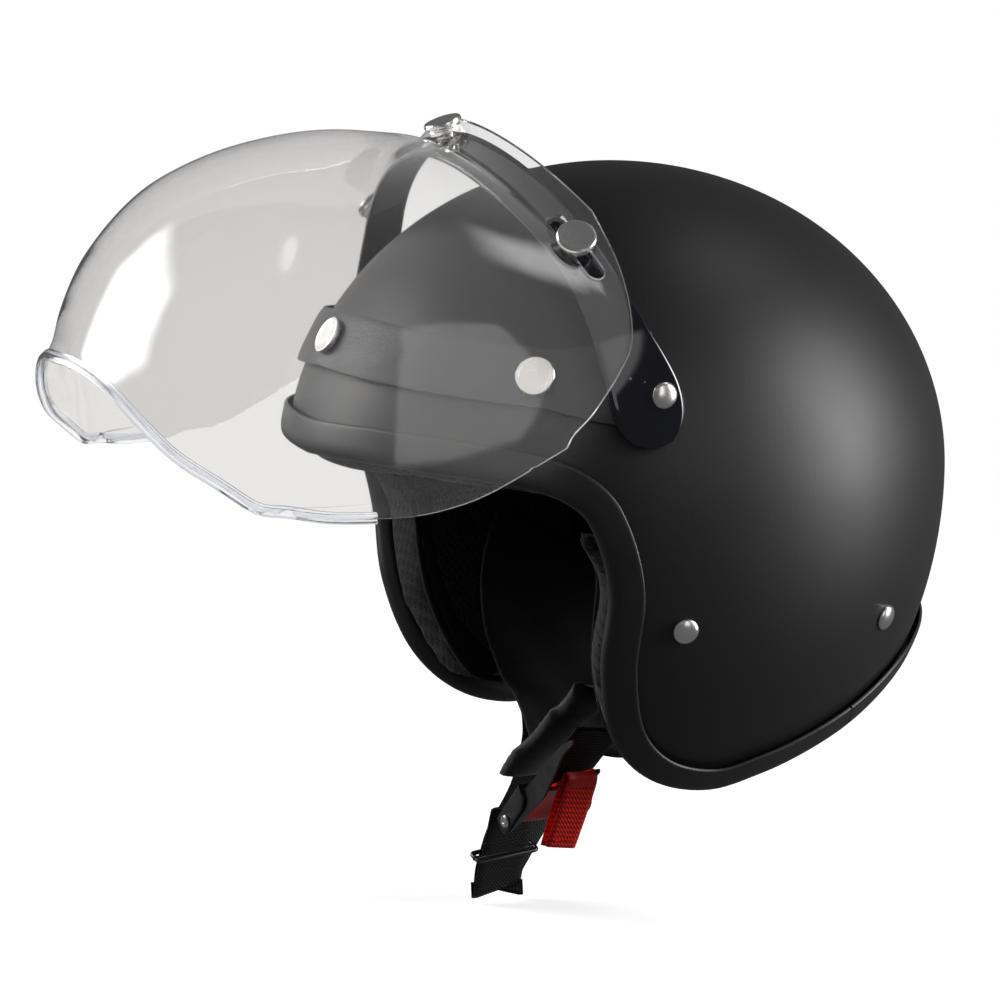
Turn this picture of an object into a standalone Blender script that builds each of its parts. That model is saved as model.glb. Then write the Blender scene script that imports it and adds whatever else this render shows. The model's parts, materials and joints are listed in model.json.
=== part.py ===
"""Open face motorcycle helmet with a flip-up bubble visor.

The wearer faces -Y, the wearer's left is +X and +Z is up.  Every shape is first
laid out about the centre of the egg-shaped outer shell, and one root empty then
lifts the helmet so that the lowest point of the hanging chin strap is at Z = 0.
The visor is laid out closed, under an empty on its pivot axis, and is shown raised.
"""
import math

import bmesh
import bpy
from mathutils import Matrix, Vector

MM = 0.001
GAP = 0.3                     # clearance between neighbouring pieces, mm

# Outer shell: half axes of its egg, mm
SHELL_WIDE = 122.5
SHELL_FRONT = 128.6
SHELL_BACK = 138.0
SHELL_UP = 121.4
SHELL_DOWN = 156.0
SHELL_THICK = 4.0
POLE_TILT = 38.0              # the shell's grid fans out from a point this far back, deg

# Rim of the shell: (azimuth from the face, height) for the left half, front to nape
RIM = ((0, 18), (26, 18.5), (47, 15), (57, 9), (62.5, -3), (65.6, -28), (64.4, -58),
       (66.5, -86), (75, -103), (90, -109.5), (104, -105), (122, -95), (143, -78),
       (162, -66), (180, -62))

# Linings: the foam's outside lies this far inside the shell's outside, and its rim by azimuth
RIM_STEPS = 64
EPS_SKIN = 5.6
EPS_THICK = 20.0
LINER_RIM = ((0, 30), (45, 29), (60, 22), (72, 2), (90, -6), (110, -12), (135, -22), (180, -26))
LINER_THICK = 7.0

# Cheek pads: front edge (depth below the brow, azimuth), upper and lower edges by azimuth
CHEEK_SKIN = 9.6
CHEEK_THICK = 18.0
CHEEK_FRONT = ((8, 57), (28, 61), (58, 59.6), (84, 61.5), (100, 66))
CHEEK_HIGH = ((52, -8), (70, -10), (90, -13), (114, -20))
CHEEK_LOW = ((52, -100), (66, -102.5), (75, -105), (90, -106), (104, -101), (114, -94))
CHEEK_TOP = 8.0               # depth below the brow of the pad's first and last rows
CHEEK_FOOT = 100.0
CHEEK_REAR = 112.0

# Brow pad and neck roll: lower and upper edge heights by azimuth from their own middle
BROW_LOW = ((0, 9.5), (30, 10), (46, 8), (53, 5))
BROW_HIGH = ((0, 27.5), (30, 27), (46, 25), (53, 22))
BROW_SPAN = 53.0
NECK_LOW = ((0, -56), (30, -60), (62, -84))
NECK_HIGH = ((0, -29), (62, -27))
NECK_SPAN = 62.0

# Visor pivots and flip arch, mm
PIVOT_Y = -37.6
PIVOT_Z = 45.0
RAISE = 63.0                  # from closed to the position shown, deg
ARCH_TILT = 7.0               # the closed arch looks this far up, deg
ARCH_WIDE = 117.2             # inside half width at the pivots
ARCH_REACH = 89.3             # inside reach ahead of the pivots
ARCH_POWER = 1.75
ARCH_THICK = 2.0
ARCH_TAIL = 17.5              # the arch runs this far past its pivots

# Half width of the arch and height of its centre line, by distance from its ends, mm
ARCH_HALF = ((0, 4.5), (3.5, 9.5), (9, 13), (17, 14.5), (30, 13.3), (45, 11), (60, 9.5), (90, 9), (130, 10))
ARCH_MIDDLE = ((0, -6), (17, -6.5), (35, -6), (50, -4.8), (75, -2.5), (130, -2))

# Brow band: azimuth of its ends and of its snaps, half height, and where it starts to widen
BAND_REACH = 73.0
BAND_SNAPS = 50.0
BAND_HALF = 10.0
BAND_WIDEN = 52.0
BAND_THICK = 1.6
SNAP_R = 7.5
RIVET_R = 5.0

# Bubble visor and its snaps, mm
VISOR_THICK = 2.0
SNAP_X = 87.0                     # half width of the side snaps on the arch
SNAP_DROP = -2.0                  # side snaps off the middle line of the arch
SIDE_LIFT = 6.3                   # underside of a side cap above the arch
MIDDLE_LIFT = 6.6
SLOT_LONG = 34.0
SLOT_WIDE = 7.4
POST_R = 2.9

# Chin strap, mm
WEB_WIDE = 22.0
WEB_THICK = 1.8
WEB_TURN = -8.0               # the far strap is turned this far about Z, deg
SWING_Y = -30.0
SWING_Z = -88.0
WEB_LEFT = ((62, -34, -91.5), (51, -38, -104.5), (41, -41, -116))
WEB_RIGHT = ((-61, 0, -86), (-56, -1, -105), (-42, -6, -121), (-24, -20, -137), (-12, -37, -155),
             (-9, -45, -170.5), (-3.5, -45.5, -165), (2, -45.3, -150), (7.5, -45.1, -135.5))
SLEEVE = ((61, -37, -80), (40, -42, -101), (13, -45, -124))
SLEEVE_WIDE = 26.0
SLEEVE_THICK = 7.0

# Ratchet buckle: direction from the chin up towards the left cheek, middle of its floor, mm
BUCKLE_ALONG = Vector((0.74, 0.0, 0.673))
BUCKLE_AT = Vector((29, -42.5, -126.5))
BUCKLE_HALF = 14.5            # half width over the channel's walls
BUCKLE_REACH = 13.0           # half length of the channel
PIN_BACK = 6.0                # pin behind the middle, and above the floor's middle plane
PIN_LIFT = 3.6
LEVER_HALF = 12.4
LEVER_SIDE = ((-2.2, -1.0), (-1.2, -2.2), (4, -2.2), (44, 1.6), (46, 3.0), (44, 4.2), (6, 2.2),
              (-1.2, 2.2), (-2.2, 1.2))
TAB_DROP = Vector((-7, -1.5, -34))
TAB_WIDE = 12.5
TAB_THICK = 2.2

# Slide on the hanging webbing: middle, direction of the webbing, outer and inner half sizes
SLIDE_AT = Vector((-0.9, -45.4, -157.5))
SLIDE_ALONG = Vector((5.5, -0.2, 15))
SLIDE_SIZES = ((14.0, 4.0), (12.4, 2.4))
SLIDE_HALF = 2.0

# Surface of each material: colour, roughness, metalness
SURFACES = {
    "matte_black": ((0.02, 0.02, 0.022), 0.6, 0.0),
    "trim_rubber": ((0.03, 0.03, 0.03), 0.45, 0.0),
    "eps_foam": ((0.05, 0.05, 0.05), 0.9, 0.0),
    "liner_fabric": ((0.03, 0.03, 0.035), 0.9, 0.0),
    "pad_mesh": ((0.035, 0.035, 0.04), 0.9, 0.0),
    "pad_fabric": ((0.03, 0.03, 0.03), 0.9, 0.0),
    "strap_vinyl": ((0.05, 0.05, 0.055), 0.5, 0.0),
    "nickel": ((0.75, 0.74, 0.72), 0.25, 1.0),
    "zinc_steel": ((0.5, 0.5, 0.52), 0.4, 1.0),
    "gloss_black": ((0.01, 0.01, 0.015), 0.12, 0.0),
    "smoke_clear": ((0.6, 0.6, 0.6), 0.05, 0.0),
    "clear_bead": ((0.7, 0.72, 0.75), 0.1, 0.0),
    "webbing": ((0.02, 0.02, 0.02), 0.85, 0.0),
    "sleeve_fabric": ((0.03, 0.03, 0.03), 0.8, 0.0),
    "dark_steel": ((0.12, 0.12, 0.13), 0.35, 1.0),
    "red_plastic": ((0.7, 0.03, 0.02), 0.35, 0.0),
    "red_webbing": ((0.65, 0.03, 0.02), 0.8, 0.0),
    "cutter": ((1.0, 0.0, 0.0), 0.5, 0.0),
}


# ------------------------------------------------------------------ scene helpers

def clear_scene():
    for obj in list(bpy.data.objects):
        bpy.data.objects.remove(obj, do_unlink=True)


def material(name):
    found = bpy.data.materials.get(name)
    if found:
        return found
    colour, rough, metal = SURFACES[name]
    mat = bpy.data.materials.new(name)
    mat.use_nodes = True
    shader = mat.node_tree.nodes["Principled BSDF"]
    shader.inputs["Base Color"].default_value = (*colour, 1.0)
    shader.inputs["Roughness"].default_value = rough
    shader.inputs["Metallic"].default_value = metal
    return mat


def empty(name, place, parent=None):
    obj = bpy.data.objects.new(name, None)
    bpy.context.scene.collection.objects.link(obj)
    obj.location = Vector(place) * MM
    obj.parent = parent
    return obj


def add_object(name, bm, mat, parent, origin=(0, 0, 0), smooth=35):
    """Turn a bmesh laid out in millimetres into a named object with its origin at origin."""
    bmesh.ops.recalc_face_normals(bm, faces=bm.faces)
    if bm.calc_volume(signed=True) < 0:
        bmesh.ops.reverse_faces(bm, faces=bm.faces)
    bmesh.ops.translate(bm, vec=-Vector(origin), verts=bm.verts)
    bmesh.ops.scale(bm, vec=(MM, MM, MM), verts=bm.verts)
    mesh = bpy.data.meshes.new(name)
    bm.to_mesh(mesh)
    bm.free()
    mesh.shade_smooth()
    mesh.set_sharp_from_angle(angle=math.radians(smooth))
    mesh.materials.append(mat)
    obj = bpy.data.objects.new(name, mesh)
    bpy.context.scene.collection.objects.link(obj)
    obj.parent = parent
    obj.location = Vector(origin) * MM
    return obj


def subtract(obj, cutters):
    """Cut each cutter out of the object and apply the cuts."""
    for cutter in cutters:
        mod = obj.modifiers.new("cut", "BOOLEAN")
        mod.operation = "DIFFERENCE"
        mod.object = cutter
        cutter.hide_render = True
        cutter.display_type = "WIRE"


# ------------------------------------------------------------------ curves and surfaces

def lerp(a, b, t):
    return a + (b - a) * t


def smooth_table(points, x):
    """Value at x of a smooth curve through (x, y) pairs with rising x."""
    last = len(points) - 1
    if x <= points[0][0]:
        return points[0][1]
    if x >= points[last][0]:
        return points[last][1]
    i = max(k for k in range(last) if points[k][0] <= x)
    x0, y0 = points[i]
    x1, y1 = points[i + 1]
    before = points[max(i - 1, 0)]
    after = points[min(i + 2, last)]
    slope0 = (y1 - before[1]) / (x1 - before[0])
    slope1 = (after[1] - y0) / (after[0] - x0)
    h = x1 - x0
    t = (x - x0) / h
    a = 2 * t ** 3 - 3 * t ** 2 + 1
    b = t ** 3 - 2 * t ** 2 + t
    c = 3 * t ** 2 - 2 * t ** 3
    d = t ** 3 - t ** 2
    return a * y0 + b * h * slope0 + c * y1 + d * h * slope1


def smooth_path(points, count):
    """Evenly spaced points along a smooth curve through 3-D or 2-D points."""
    pts = [Vector(p) for p in points]
    dense = []
    for i in range(len(pts) - 1):
        p0 = pts[max(i - 1, 0)]
        p1 = pts[i]
        p2 = pts[i + 1]
        p3 = pts[min(i + 2, len(pts) - 1)]
        for k in range(12):
            t = k / 12
            dense.append(0.5 * (2 * p1 + (p2 - p0) * t + (2 * p0 - 5 * p1 + 4 * p2 - p3) * t ** 2
                                + (3 * p1 - p0 - 3 * p2 + p3) * t ** 3))
    dense.append(pts[-1])
    lengths = [0.0]
    for a, b in zip(dense, dense[1:]):
        lengths.append(lengths[-1] + (b - a).length)
    out = []
    for k in range(count):
        want = lengths[-1] * k / (count - 1)
        j = min(max(i for i, s in enumerate(lengths) if s <= want), len(dense) - 2)
        span = lengths[j + 1] - lengths[j]
        out.append(dense[j].lerp(dense[j + 1], (want - lengths[j]) / span))
    return out


def egg(direction, off):
    """Point of the shell's egg, grown by off, for a unit vector in its own scaled space."""
    x, y, z = direction
    front = SHELL_BACK if y > 0 else SHELL_FRONT
    high = SHELL_UP if z > 0 else SHELL_DOWN
    return Vector((x * (SHELL_WIDE + off), y * (front + off), z * (high + off)))


def egg_unit(azimuth, z):
    """Unit vector of the shell point at an azimuth from the face (deg) and a height (mm)."""
    phi = math.radians(azimuth)
    side = math.sin(phi)
    ahead = -math.cos(phi)
    depth = SHELL_BACK if ahead > 0 else SHELL_FRONT
    level = z / (SHELL_UP if z > 0 else SHELL_DOWN)
    reach = math.sqrt(1 - level ** 2) / math.hypot(side / SHELL_WIDE, ahead / depth)
    return Vector((side * reach / SHELL_WIDE, ahead * reach / depth, level))


def egg_point(azimuth, z, off):
    return egg(egg_unit(azimuth, z), off)


def egg_normal(point):
    depth = SHELL_BACK if point.y > 0 else SHELL_FRONT
    high = SHELL_UP if point.z > 0 else SHELL_DOWN
    return Vector((point.x / SHELL_WIDE ** 2, point.y / depth ** 2, point.z / high ** 2)).normalized()


def rim_units(points, count):
    """Unit vectors, evenly spaced along a rim given for its left half, all the way round."""
    half = smooth_path([tuple(egg_unit(a, z)) for a, z in points], count // 2 + 1)
    left = [v.normalized() for v in half]
    left[0].x = 0.0
    left[-1].x = 0.0
    right = [Vector((-v.x, v.y, v.z)) for v in reversed(left[1:-1])]
    return left + right


# ------------------------------------------------------------------ solid builders

def ring_faces(bm, ring_a, ring_b, closed=True):
    count = len(ring_a)
    for i in range(count if closed else count - 1):
        j = (i + 1) % count
        bm.faces.new((ring_a[i], ring_a[j], ring_b[j], ring_b[i]))


def dome_solid(rim, rings, off_out, off_in, rings_in=None):
    """Closed shell of constant wall, open at its rim: two domes joined along the rim."""
    bm = bmesh.new()
    tilt = math.radians(POLE_TILT)
    pole = Vector((0, math.sin(tilt), math.cos(tilt)))
    edges = []
    for off, steps in ((off_out, rings), (off_in, rings_in or rings)):
        top = bm.verts.new(egg(pole, off))
        last = None
        for k in range(1, steps + 1):
            ring = [bm.verts.new(egg(pole.slerp(unit, k / steps), off)) for unit in rim]
            if last is None:
                for i, vert in enumerate(ring):
                    bm.faces.new((top, vert, ring[(i + 1) % len(ring)]))
            else:
                ring_faces(bm, last, ring)
            last = ring
        edges.append(last)
    ring_faces(bm, edges[0], edges[1])
    return bm


def swept_solid(frames, profile, closed):
    """Sweep a closed (u, v) profile along frames of (point, u axis, v axis)."""
    bm = bmesh.new()
    rings = []
    for point, u_axis, v_axis in frames:
        rings.append([bm.verts.new(point + u_axis * u + v_axis * v) for u, v in profile])
    for a, b in zip(rings, rings[1:]):
        ring_faces(bm, a, b)
    if closed:
        ring_faces(bm, rings[-1], rings[0])
    else:
        bm.faces.new(rings[0])
        bm.faces.new(rings[-1])
    return bm


def sheet_solid(outer, inner):
    """Closed solid between two grids of points of the same size."""
    bm = bmesh.new()
    grids = []
    for grid in (outer, inner):
        grids.append([[bm.verts.new(p) for p in row] for row in grid])
    for grid in grids:
        for row_a, row_b in zip(grid, grid[1:]):
            ring_faces(bm, row_a, row_b, closed=False)
    borders = [border_of(grid) for grid in grids]
    ring_faces(bm, borders[0], borders[1])
    return bm


def border_of(grid):
    top = grid[0]
    right = [row[-1] for row in grid[1:-1]]
    bottom = list(reversed(grid[-1]))
    left = [row[0] for row in reversed(grid[1:-1])]
    return top + right + bottom + left


def turned_solid(place, axis, profile, segments=20):
    """Solid of revolution from (radius, height) pairs; the first and last pairs are on the axis."""
    bm = bmesh.new()
    axis = Vector(axis).normalized()
    side = axis.orthogonal().normalized()
    other = axis.cross(side)
    place = Vector(place)
    rings = []
    for radius, height in profile:
        centre = place + axis * height
        if radius == 0:
            rings.append([bm.verts.new(centre)])
            continue
        ring = []
        for k in range(segments):
            angle = 2 * math.pi * k / segments
            ring.append(bm.verts.new(centre + (side * math.cos(angle) + other * math.sin(angle)) * radius))
        rings.append(ring)
    for a, b in zip(rings, rings[1:]):
        if len(a) == 1:
            for k in range(segments):
                bm.faces.new((a[0], b[k], b[(k + 1) % segments]))
        elif len(b) == 1:
            for k in range(segments):
                bm.faces.new((b[0], a[k], a[(k + 1) % segments]))
        else:
            ring_faces(bm, a, b)
    return bm


def box_solid(centre, axes, size, bevel=0.0):
    """Box with edges along three axes; bevel rounds all of its edges."""
    bm = bmesh.new()
    bmesh.ops.create_cube(bm, size=1.0)
    frame = Matrix([Vector(a) for a in axes]).transposed().to_4x4()
    scale = Matrix.Diagonal((*size, 1.0))
    bmesh.ops.transform(bm, matrix=Matrix.Translation(Vector(centre)) @ frame @ scale, verts=bm.verts)
    if bevel:
        bmesh.ops.bevel(bm, geom=list(bm.edges), offset=bevel, segments=1, affect="EDGES")
    return bm


# ------------------------------------------------------------------ shell and lining

def outer_shell(root):
    bm = dome_solid(rim_units(RIM, RIM_STEPS), 12, 0.0, -SHELL_THICK, 10)
    add_object("outer_shell", bm, material("matte_black"), root)


def rim_frames(off, count):
    """Point, surface normal and direction away from the shell at points along its rim."""
    rim = rim_units(RIM, count)
    points = [egg(unit, off) for unit in rim]
    frames = []
    for i, point in enumerate(points):
        along = (points[(i + 1) % count] - points[i - 1]).normalized()
        normal = egg_normal(point)
        away = along.cross(normal).normalized()
        frames.append((point, normal, away))
    return frames


def edge_trim(root):
    """Rubber channel pressed over the whole rim: round outside, with a slot for the shell."""
    clear = GAP + 1.15
    slot = -SHELL_THICK - clear
    profile = ((clear, -9), (2.8, -9.2), (3.6, -5), (3.4, 0), (1.8, 3.2), (-1.6, 4.6), (-5.4, 3.6),
               (-7.2, 0.5), (-7.0, -5), (slot, -5), (slot, clear), (clear, clear))
    bm = swept_solid(rim_frames(0.0, RIM_STEPS), profile, closed=True)
    add_object("edge_trim", bm, material("trim_rubber"), root)


def eps_liner(root):
    """Thick foam cap that takes the impact."""
    bm = dome_solid(rim_units(LINER_RIM, 32), 6, -EPS_SKIN, -EPS_SKIN - EPS_THICK, 6)
    add_object("eps_liner", bm, material("eps_foam"), root)


def comfort_liner(root):
    """Padded fabric lining against the foam."""
    top = EPS_SKIN + EPS_THICK + 1.0
    bm = dome_solid(rim_units(LINER_RIM, 32), 6, -top, -top - LINER_THICK, 5)
    add_object("comfort_liner", bm, material("liner_fabric"), root)


def pad_solid(low, high, middle, span, skin, thick, steps):
    """Cushion inside the shell, span degrees to each side of middle, between two height tables
    of the azimuth from its middle; thinner at its border."""
    columns, rows = steps
    outer = []
    inner = []
    for i in range(columns + 1):
        s = i / columns
        away = lerp(-span, span, s)
        azimuth = middle + away
        outer_row = []
        inner_row = []
        for j in range(rows + 1):
            t = j / rows
            z = lerp(smooth_table(low, abs(away)), smooth_table(high, abs(away)), t)
            crown = (1 - abs(2 * s - 1) ** 6) * (1 - abs(2 * t - 1) ** 4)
            outer_row.append(egg_point(azimuth, z, -skin))
            inner_row.append(egg_point(azimuth, z, -skin - thick * (0.72 + 0.28 * crown)))
        outer.append(outer_row)
        inner.append(inner_row)
    return sheet_solid(outer, inner)


def brow_pad(root):
    bm = pad_solid(BROW_LOW, BROW_HIGH, 0.0, BROW_SPAN, 7.6, 13.0, (20, 2))
    add_object("brow_pad", bm, material("pad_mesh"), root)


def cheek_spot(side, s, t, depth):
    """Point of a cheek pad: s from its front edge to its rear, t from its top to its bottom,
    depth inwards from its outer face."""
    start = smooth_table(CHEEK_FRONT, lerp(CHEEK_TOP, CHEEK_FOOT, t))
    azimuth = lerp(start, CHEEK_REAR, s)
    z = lerp(smooth_table(CHEEK_HIGH, azimuth), smooth_table(CHEEK_LOW, azimuth), t)
    point = egg_point(azimuth * side, z, -CHEEK_SKIN)
    inward = egg_normal(point)
    inward.z = 0.0
    return point - inward.normalized() * depth


def cheek_pad(name, side, root):
    """Side cushion that fills the cheek from the brow corner to the lower rim."""
    columns = 8
    rows = 9
    outer = []
    inner = []
    for j in range(rows + 1):
        t = j / rows
        outer_row = []
        inner_row = []
        for i in range(columns + 1):
            s = i / columns
            crown = (1 - abs(2 * s - 1) ** 6) * (1 - abs(2 * t - 1) ** 6)
            outer_row.append(cheek_spot(side, s, t, 0.0))
            inner_row.append(cheek_spot(side, s, t, CHEEK_THICK * (0.8 + 0.2 * crown)))
        outer.append(outer_row)
        inner.append(inner_row)
    add_object(name, sheet_solid(outer, inner), material("pad_mesh"), root)


def neck_roll(root):
    bm = pad_solid(NECK_LOW, NECK_HIGH, 180.0, NECK_SPAN, 8.0, 18.0, (16, 4))
    add_object("neck_roll", bm, material("pad_fabric"), root)


# ------------------------------------------------------------------ fixed fittings

def band_height(azimuth):
    """Height of the brow band's centre line."""
    return lerp(55.5, 45.6, min(abs(azimuth) / 70.0, 1.0) ** 1.2)


def band_lift(azimuth):
    """The band stands off the shell at the brow and lies close at the sides."""
    return lerp(3.0, 0.9, min(abs(azimuth) / 55.0, 1.0))


def base_strap(root):
    """Brow band that carries the studs' sockets and, at its ends, the visor pivots."""
    outer = []
    inner = []
    columns = 36
    for i in range(columns + 1):
        azimuth = lerp(-BAND_REACH, BAND_REACH, i / columns)
        widen = max(abs(azimuth) - BAND_WIDEN, 0.0) / (BAND_REACH - BAND_WIDEN)
        half = BAND_HALF + 3.5 * math.sin(math.pi * min(widen, 0.75) / 1.5)
        half *= math.sqrt(max(1 - max(widen - 0.62, 0.0) ** 2 / 0.17, 0.1))
        outer_row = []
        inner_row = []
        for t in (-1.0, -0.33, 0.33, 1.0):
            z = band_height(azimuth) + half * t
            lift = band_lift(azimuth)
            outer_row.append(egg_point(azimuth, z, lift + BAND_THICK))
            inner_row.append(egg_point(azimuth, z, lift))
        outer.append(outer_row)
        inner.append(inner_row)
    add_object("base_strap", sheet_solid(outer, inner), material("strap_vinyl"), root)


def snap_cap(name, place, axis, parent, height=2.4, segments=24):
    """Round snap cap with a flat face and a rolled rim."""
    profile = ((0, 0), (SNAP_R - 0.8, 0), (SNAP_R, 0.7), (SNAP_R, height - 0.7), (SNAP_R - 0.8, height),
               (0, height))
    bm = turned_solid(place, axis, profile, segments)
    add_object(name, bm, material("nickel"), parent, origin=place)


def round_post(name, place, axis, radius, height, parent):
    profile = ((0, 0), (radius, 0), (radius, height), (0, height))
    bm = turned_solid(place, axis, profile, 16)
    add_object(name, bm, material("nickel"), parent, origin=place)


def dome_rivet(name, place, axis, parent, radius=RIVET_R, rise=2.4):
    profile = [(0, 0), (radius, 0), (radius, 0.5)]
    for k in (1, 2):
        angle = math.radians(30 * k)
        profile.append((radius * math.cos(angle), 0.5 + (rise - 0.5) * math.sin(angle)))
    profile.append((0, rise))
    bm = turned_solid(place, axis, profile, 20)
    add_object(name, bm, material("nickel"), parent, origin=place)


def brow_snaps(root):
    """Three studs on the shell, each with the snap cap of the band over it."""
    for name, azimuth in (("right", -BAND_SNAPS), ("center", 0.0), ("left", BAND_SNAPS)):
        z = band_height(azimuth)
        point = egg_point(azimuth, z, 0.0)
        axis = egg_normal(point)
        lift = band_lift(azimuth)
        round_post("brow_stud_" + name, point + axis * GAP, axis, 4.5, lift - 0.8 - GAP, root)
        snap_cap("brow_snap_cap_" + name, point + axis * (lift + BAND_THICK + 0.35), axis, root)


def shell_rivets(root):
    """Rivets that hold the chin strap's anchor plates, and the plates inside the shell."""
    for side, word in ((1, "left"), (-1, "right")):
        for place, azimuth, z in (("front", 77.5, -44.0), ("rear", 126.0, -50.0)):
            point = egg_point(azimuth * side, z, 0.0)
            axis = egg_normal(point)
            dome_rivet("shell_rivet_" + place + "_" + word, point + axis * 0.5, axis, root)
            inside = point - axis * (SHELL_THICK + 2.5)
            along = Vector((0, 0, 1)).cross(axis).normalized()
            up = axis.cross(along)
            bm = box_solid(inside - axis * 0.6, (along, up, axis), (14, 18, 1.2))
            steel = material("zinc_steel")
            add_object("anchor_plate_" + place + "_" + word, bm, steel, root)


# ------------------------------------------------------------------ flip arch and visor

def arch_point(u, off):
    """Point of the closed arch's plan curve, u from -1 (right) to 1 (left): (x, forward)."""
    angle = u * math.pi / 2
    side = math.copysign(abs(math.sin(angle)) ** (2 / ARCH_POWER), angle)
    ahead = abs(math.cos(angle)) ** (2 / ARCH_POWER)
    return Vector((side * (ARCH_WIDE + off), ahead * (ARCH_REACH + off)))


def arch_path(count):
    """Evenly spaced plan points of the arch's inside face, with their outward normals."""
    dense = [arch_point(lerp(-1, 1, k / 240), 0.0) for k in range(241)]
    dense = [Vector((-ARCH_WIDE, -ARCH_TAIL))] + dense + [Vector((ARCH_WIDE, -ARCH_TAIL))]
    lengths = [0.0]
    for a, b in zip(dense, dense[1:]):
        lengths.append(lengths[-1] + (b - a).length)
    out = []
    for k in range(count):
        want = lengths[-1] * k / (count - 1)
        j = min(max(i for i, s in enumerate(lengths) if s <= want), len(dense) - 2)
        a = dense[j]
        b = dense[j + 1]
        along = (b - a).normalized()
        out.append((a.lerp(b, (want - lengths[j]) / (b - a).length), Vector((-along.y, along.x)), want))
    return out, lengths[-1]


def on_arch(plan, across):
    """Lay a plan point (x, forward) of the closed arch, raised by across, about the pivots."""
    tilt = math.radians(ARCH_TILT)
    ahead = plan.y * math.cos(tilt) - across * math.sin(tilt)
    up = plan.y * math.sin(tilt) + across * math.cos(tilt)
    return Vector((plan.x, PIVOT_Y - ahead, PIVOT_Z + up))


def flip_arch(flip):
    """One bent strip from pivot to pivot, wider and rounded at its ends."""
    path, total = arch_path(53)
    outer = []
    inner = []
    for plan, normal, run in path:
        end = min(run, total - run)
        half = smooth_table(ARCH_HALF, end)
        middle = smooth_table(ARCH_MIDDLE, end)
        outer.append([on_arch(plan + normal * ARCH_THICK, middle + half * t) for t in (-1, -0.4, 0.4, 1)])
        inner.append([on_arch(plan, middle + half * t) for t in (-1, -0.4, 0.4, 1)])
    place = (0, PIVOT_Y, PIVOT_Z)
    add_object("flip_arch", sheet_solid(outer, inner), material("gloss_black"),
               flip, origin=place)


# Closed visor about its pivots, mm: reach of the middle by height; half width and reach of the
# full side curve by height, with the share of it that the sheet covers; and the lower lip's
# height by half width
VISOR_TOP = 19.0
BEAD_INSET = 2                   # columns left free at each end of the bead
VISOR_COLUMNS = 28
VISOR_ROWS = 15
VISOR_PROFILE = ((-166, 97), (-160, 97.5), (-153, 101), (-143, 110), (-127, 121.3), (-101, 130.3),
                 (-78, 130.8), (-54, 126.5), (-30, 118), (-7, 104.2), (-1, 99.8), (3, 96), (7, 94.4),
                 (12, 94.2), (19, 96.4))
VISOR_HALF = ((-168, 77), (-160, 87), (-152, 93.5), (-149, 96), (-146, 98.65), (-139, 103.7),
              (-128, 109.2), (-114, 114.5), (-100, 118), (-80, 120.8), (-50, 122.8), (-24, 123.4),
              (-12, 123.2), (-2, 122.6), (19, 122.6))
VISOR_SIDE = ((-168, 24), (-152, 28), (-146, 29), (-139, 28), (-128, 22), (-114, 15), (-100, 9),
              (-80, 4.5), (-50, 3.8), (-24, 4), (-12, 3), (-2, 1), (4, 0), (19, 0))
VISOR_POWER = ((-166, 1.85), (-120, 2.05), (-60, 2.1), (-10, 1.8), (4, 1.75), (19, 1.75))
VISOR_COVER = ((-60, 1), (-40, 0.9998), (-24, 0.9965), (-12, 0.985), (-2, 0.961), (4, 0.923), (9, 0.877),
               (14, 0.807), (19, 0.69))
VISOR_LIP = ((0, -166), (24, -163.5), (42, -162.6), (60, -162.4), (76, -159.6), (92, -151.5), (98.4, -146),
             (103.7, -139))


def visor_reach(share, v, off):
    """Reach of the visor at a height, at a share of its full half width there."""
    power = smooth_table(VISOR_POWER, v)
    side = smooth_table(VISOR_SIDE, v)
    middle = smooth_table(VISOR_PROFILE, v) + off
    return side + (middle - side) * (1 - min(share, 1.0) ** power) ** (1 / power)


def visor_grid(off, columns, rows):
    """Points of the closed visor, grown by off: (x, forward, height), right to left, top to lip."""
    half = columns // 2
    lip = smooth_path(VISOR_LIP, half + 1)
    grid = []
    for j in range(rows + 1):
        t = j / rows
        row = []
        for i in range(half + 1):
            low = lip[i]
            top_share = math.sin(i / half * math.pi / 2) ** (2 / VISOR_POWER[-1][1])
            low_share = min(low.x / smooth_table(VISOR_HALF, low.y), 1.0) if i < half else 1.0
            v = lerp(VISOR_TOP, low.y, t)
            share = lerp(top_share, low_share, t * t * (3 - 2 * t)) * smooth_table(VISOR_COVER, v)
            x = share * (smooth_table(VISOR_HALF, v) + off)
            row.append(Vector((x, visor_reach(share, v, off), v)))
        mirror = [Vector((-p.x, p.y, p.z)) for p in reversed(row[1:])]
        grid.append(mirror + row)
    return grid


def visor_point(point):
    return Vector((point.x, PIVOT_Y - point.y, PIVOT_Z + point.z))


def slot_cutter(name, centre, along, across, length, width, parent):
    """Cutter with straight sides and round ends, through the visor around a snap's post."""
    axis = along.cross(across).normalized()
    straight = (length - width) / 2
    bm = bmesh.new()
    rings = []
    for depth in (-9, 9):
        ring = []
        for end in (1, -1):
            for k in range(7):
                angle = math.radians(-90 + 30 * k)
                u = end * (straight + math.cos(angle) * width / 2)
                v = end * math.sin(angle) * width / 2
                ring.append(bm.verts.new(centre + along * u + across * v + axis * depth))
        if straight == 0:
            for twin in (13, 6):
                bm.verts.remove(ring.pop(twin))
        rings.append(ring)
    ring_faces(bm, rings[0], rings[1])
    bm.faces.new(rings[0])
    bm.faces.new(rings[1])
    return add_object(name, bm, material("cutter"), parent, origin=tuple(centre))


def snap_frame(x):
    """Foot on the arch, outward axis, direction along the arch and direction across it."""
    plan, normal = arch_station(x)
    foot = on_arch(plan + normal * ARCH_THICK, SNAP_DROP if x else 0.0)
    axis = (on_arch(plan + normal, 0.0) - on_arch(plan, 0.0)).normalized()
    across = (on_arch(plan, 1.0) - on_arch(plan, 0.0)).normalized()
    return foot, axis, axis.cross(across).normalized(), across


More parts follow.
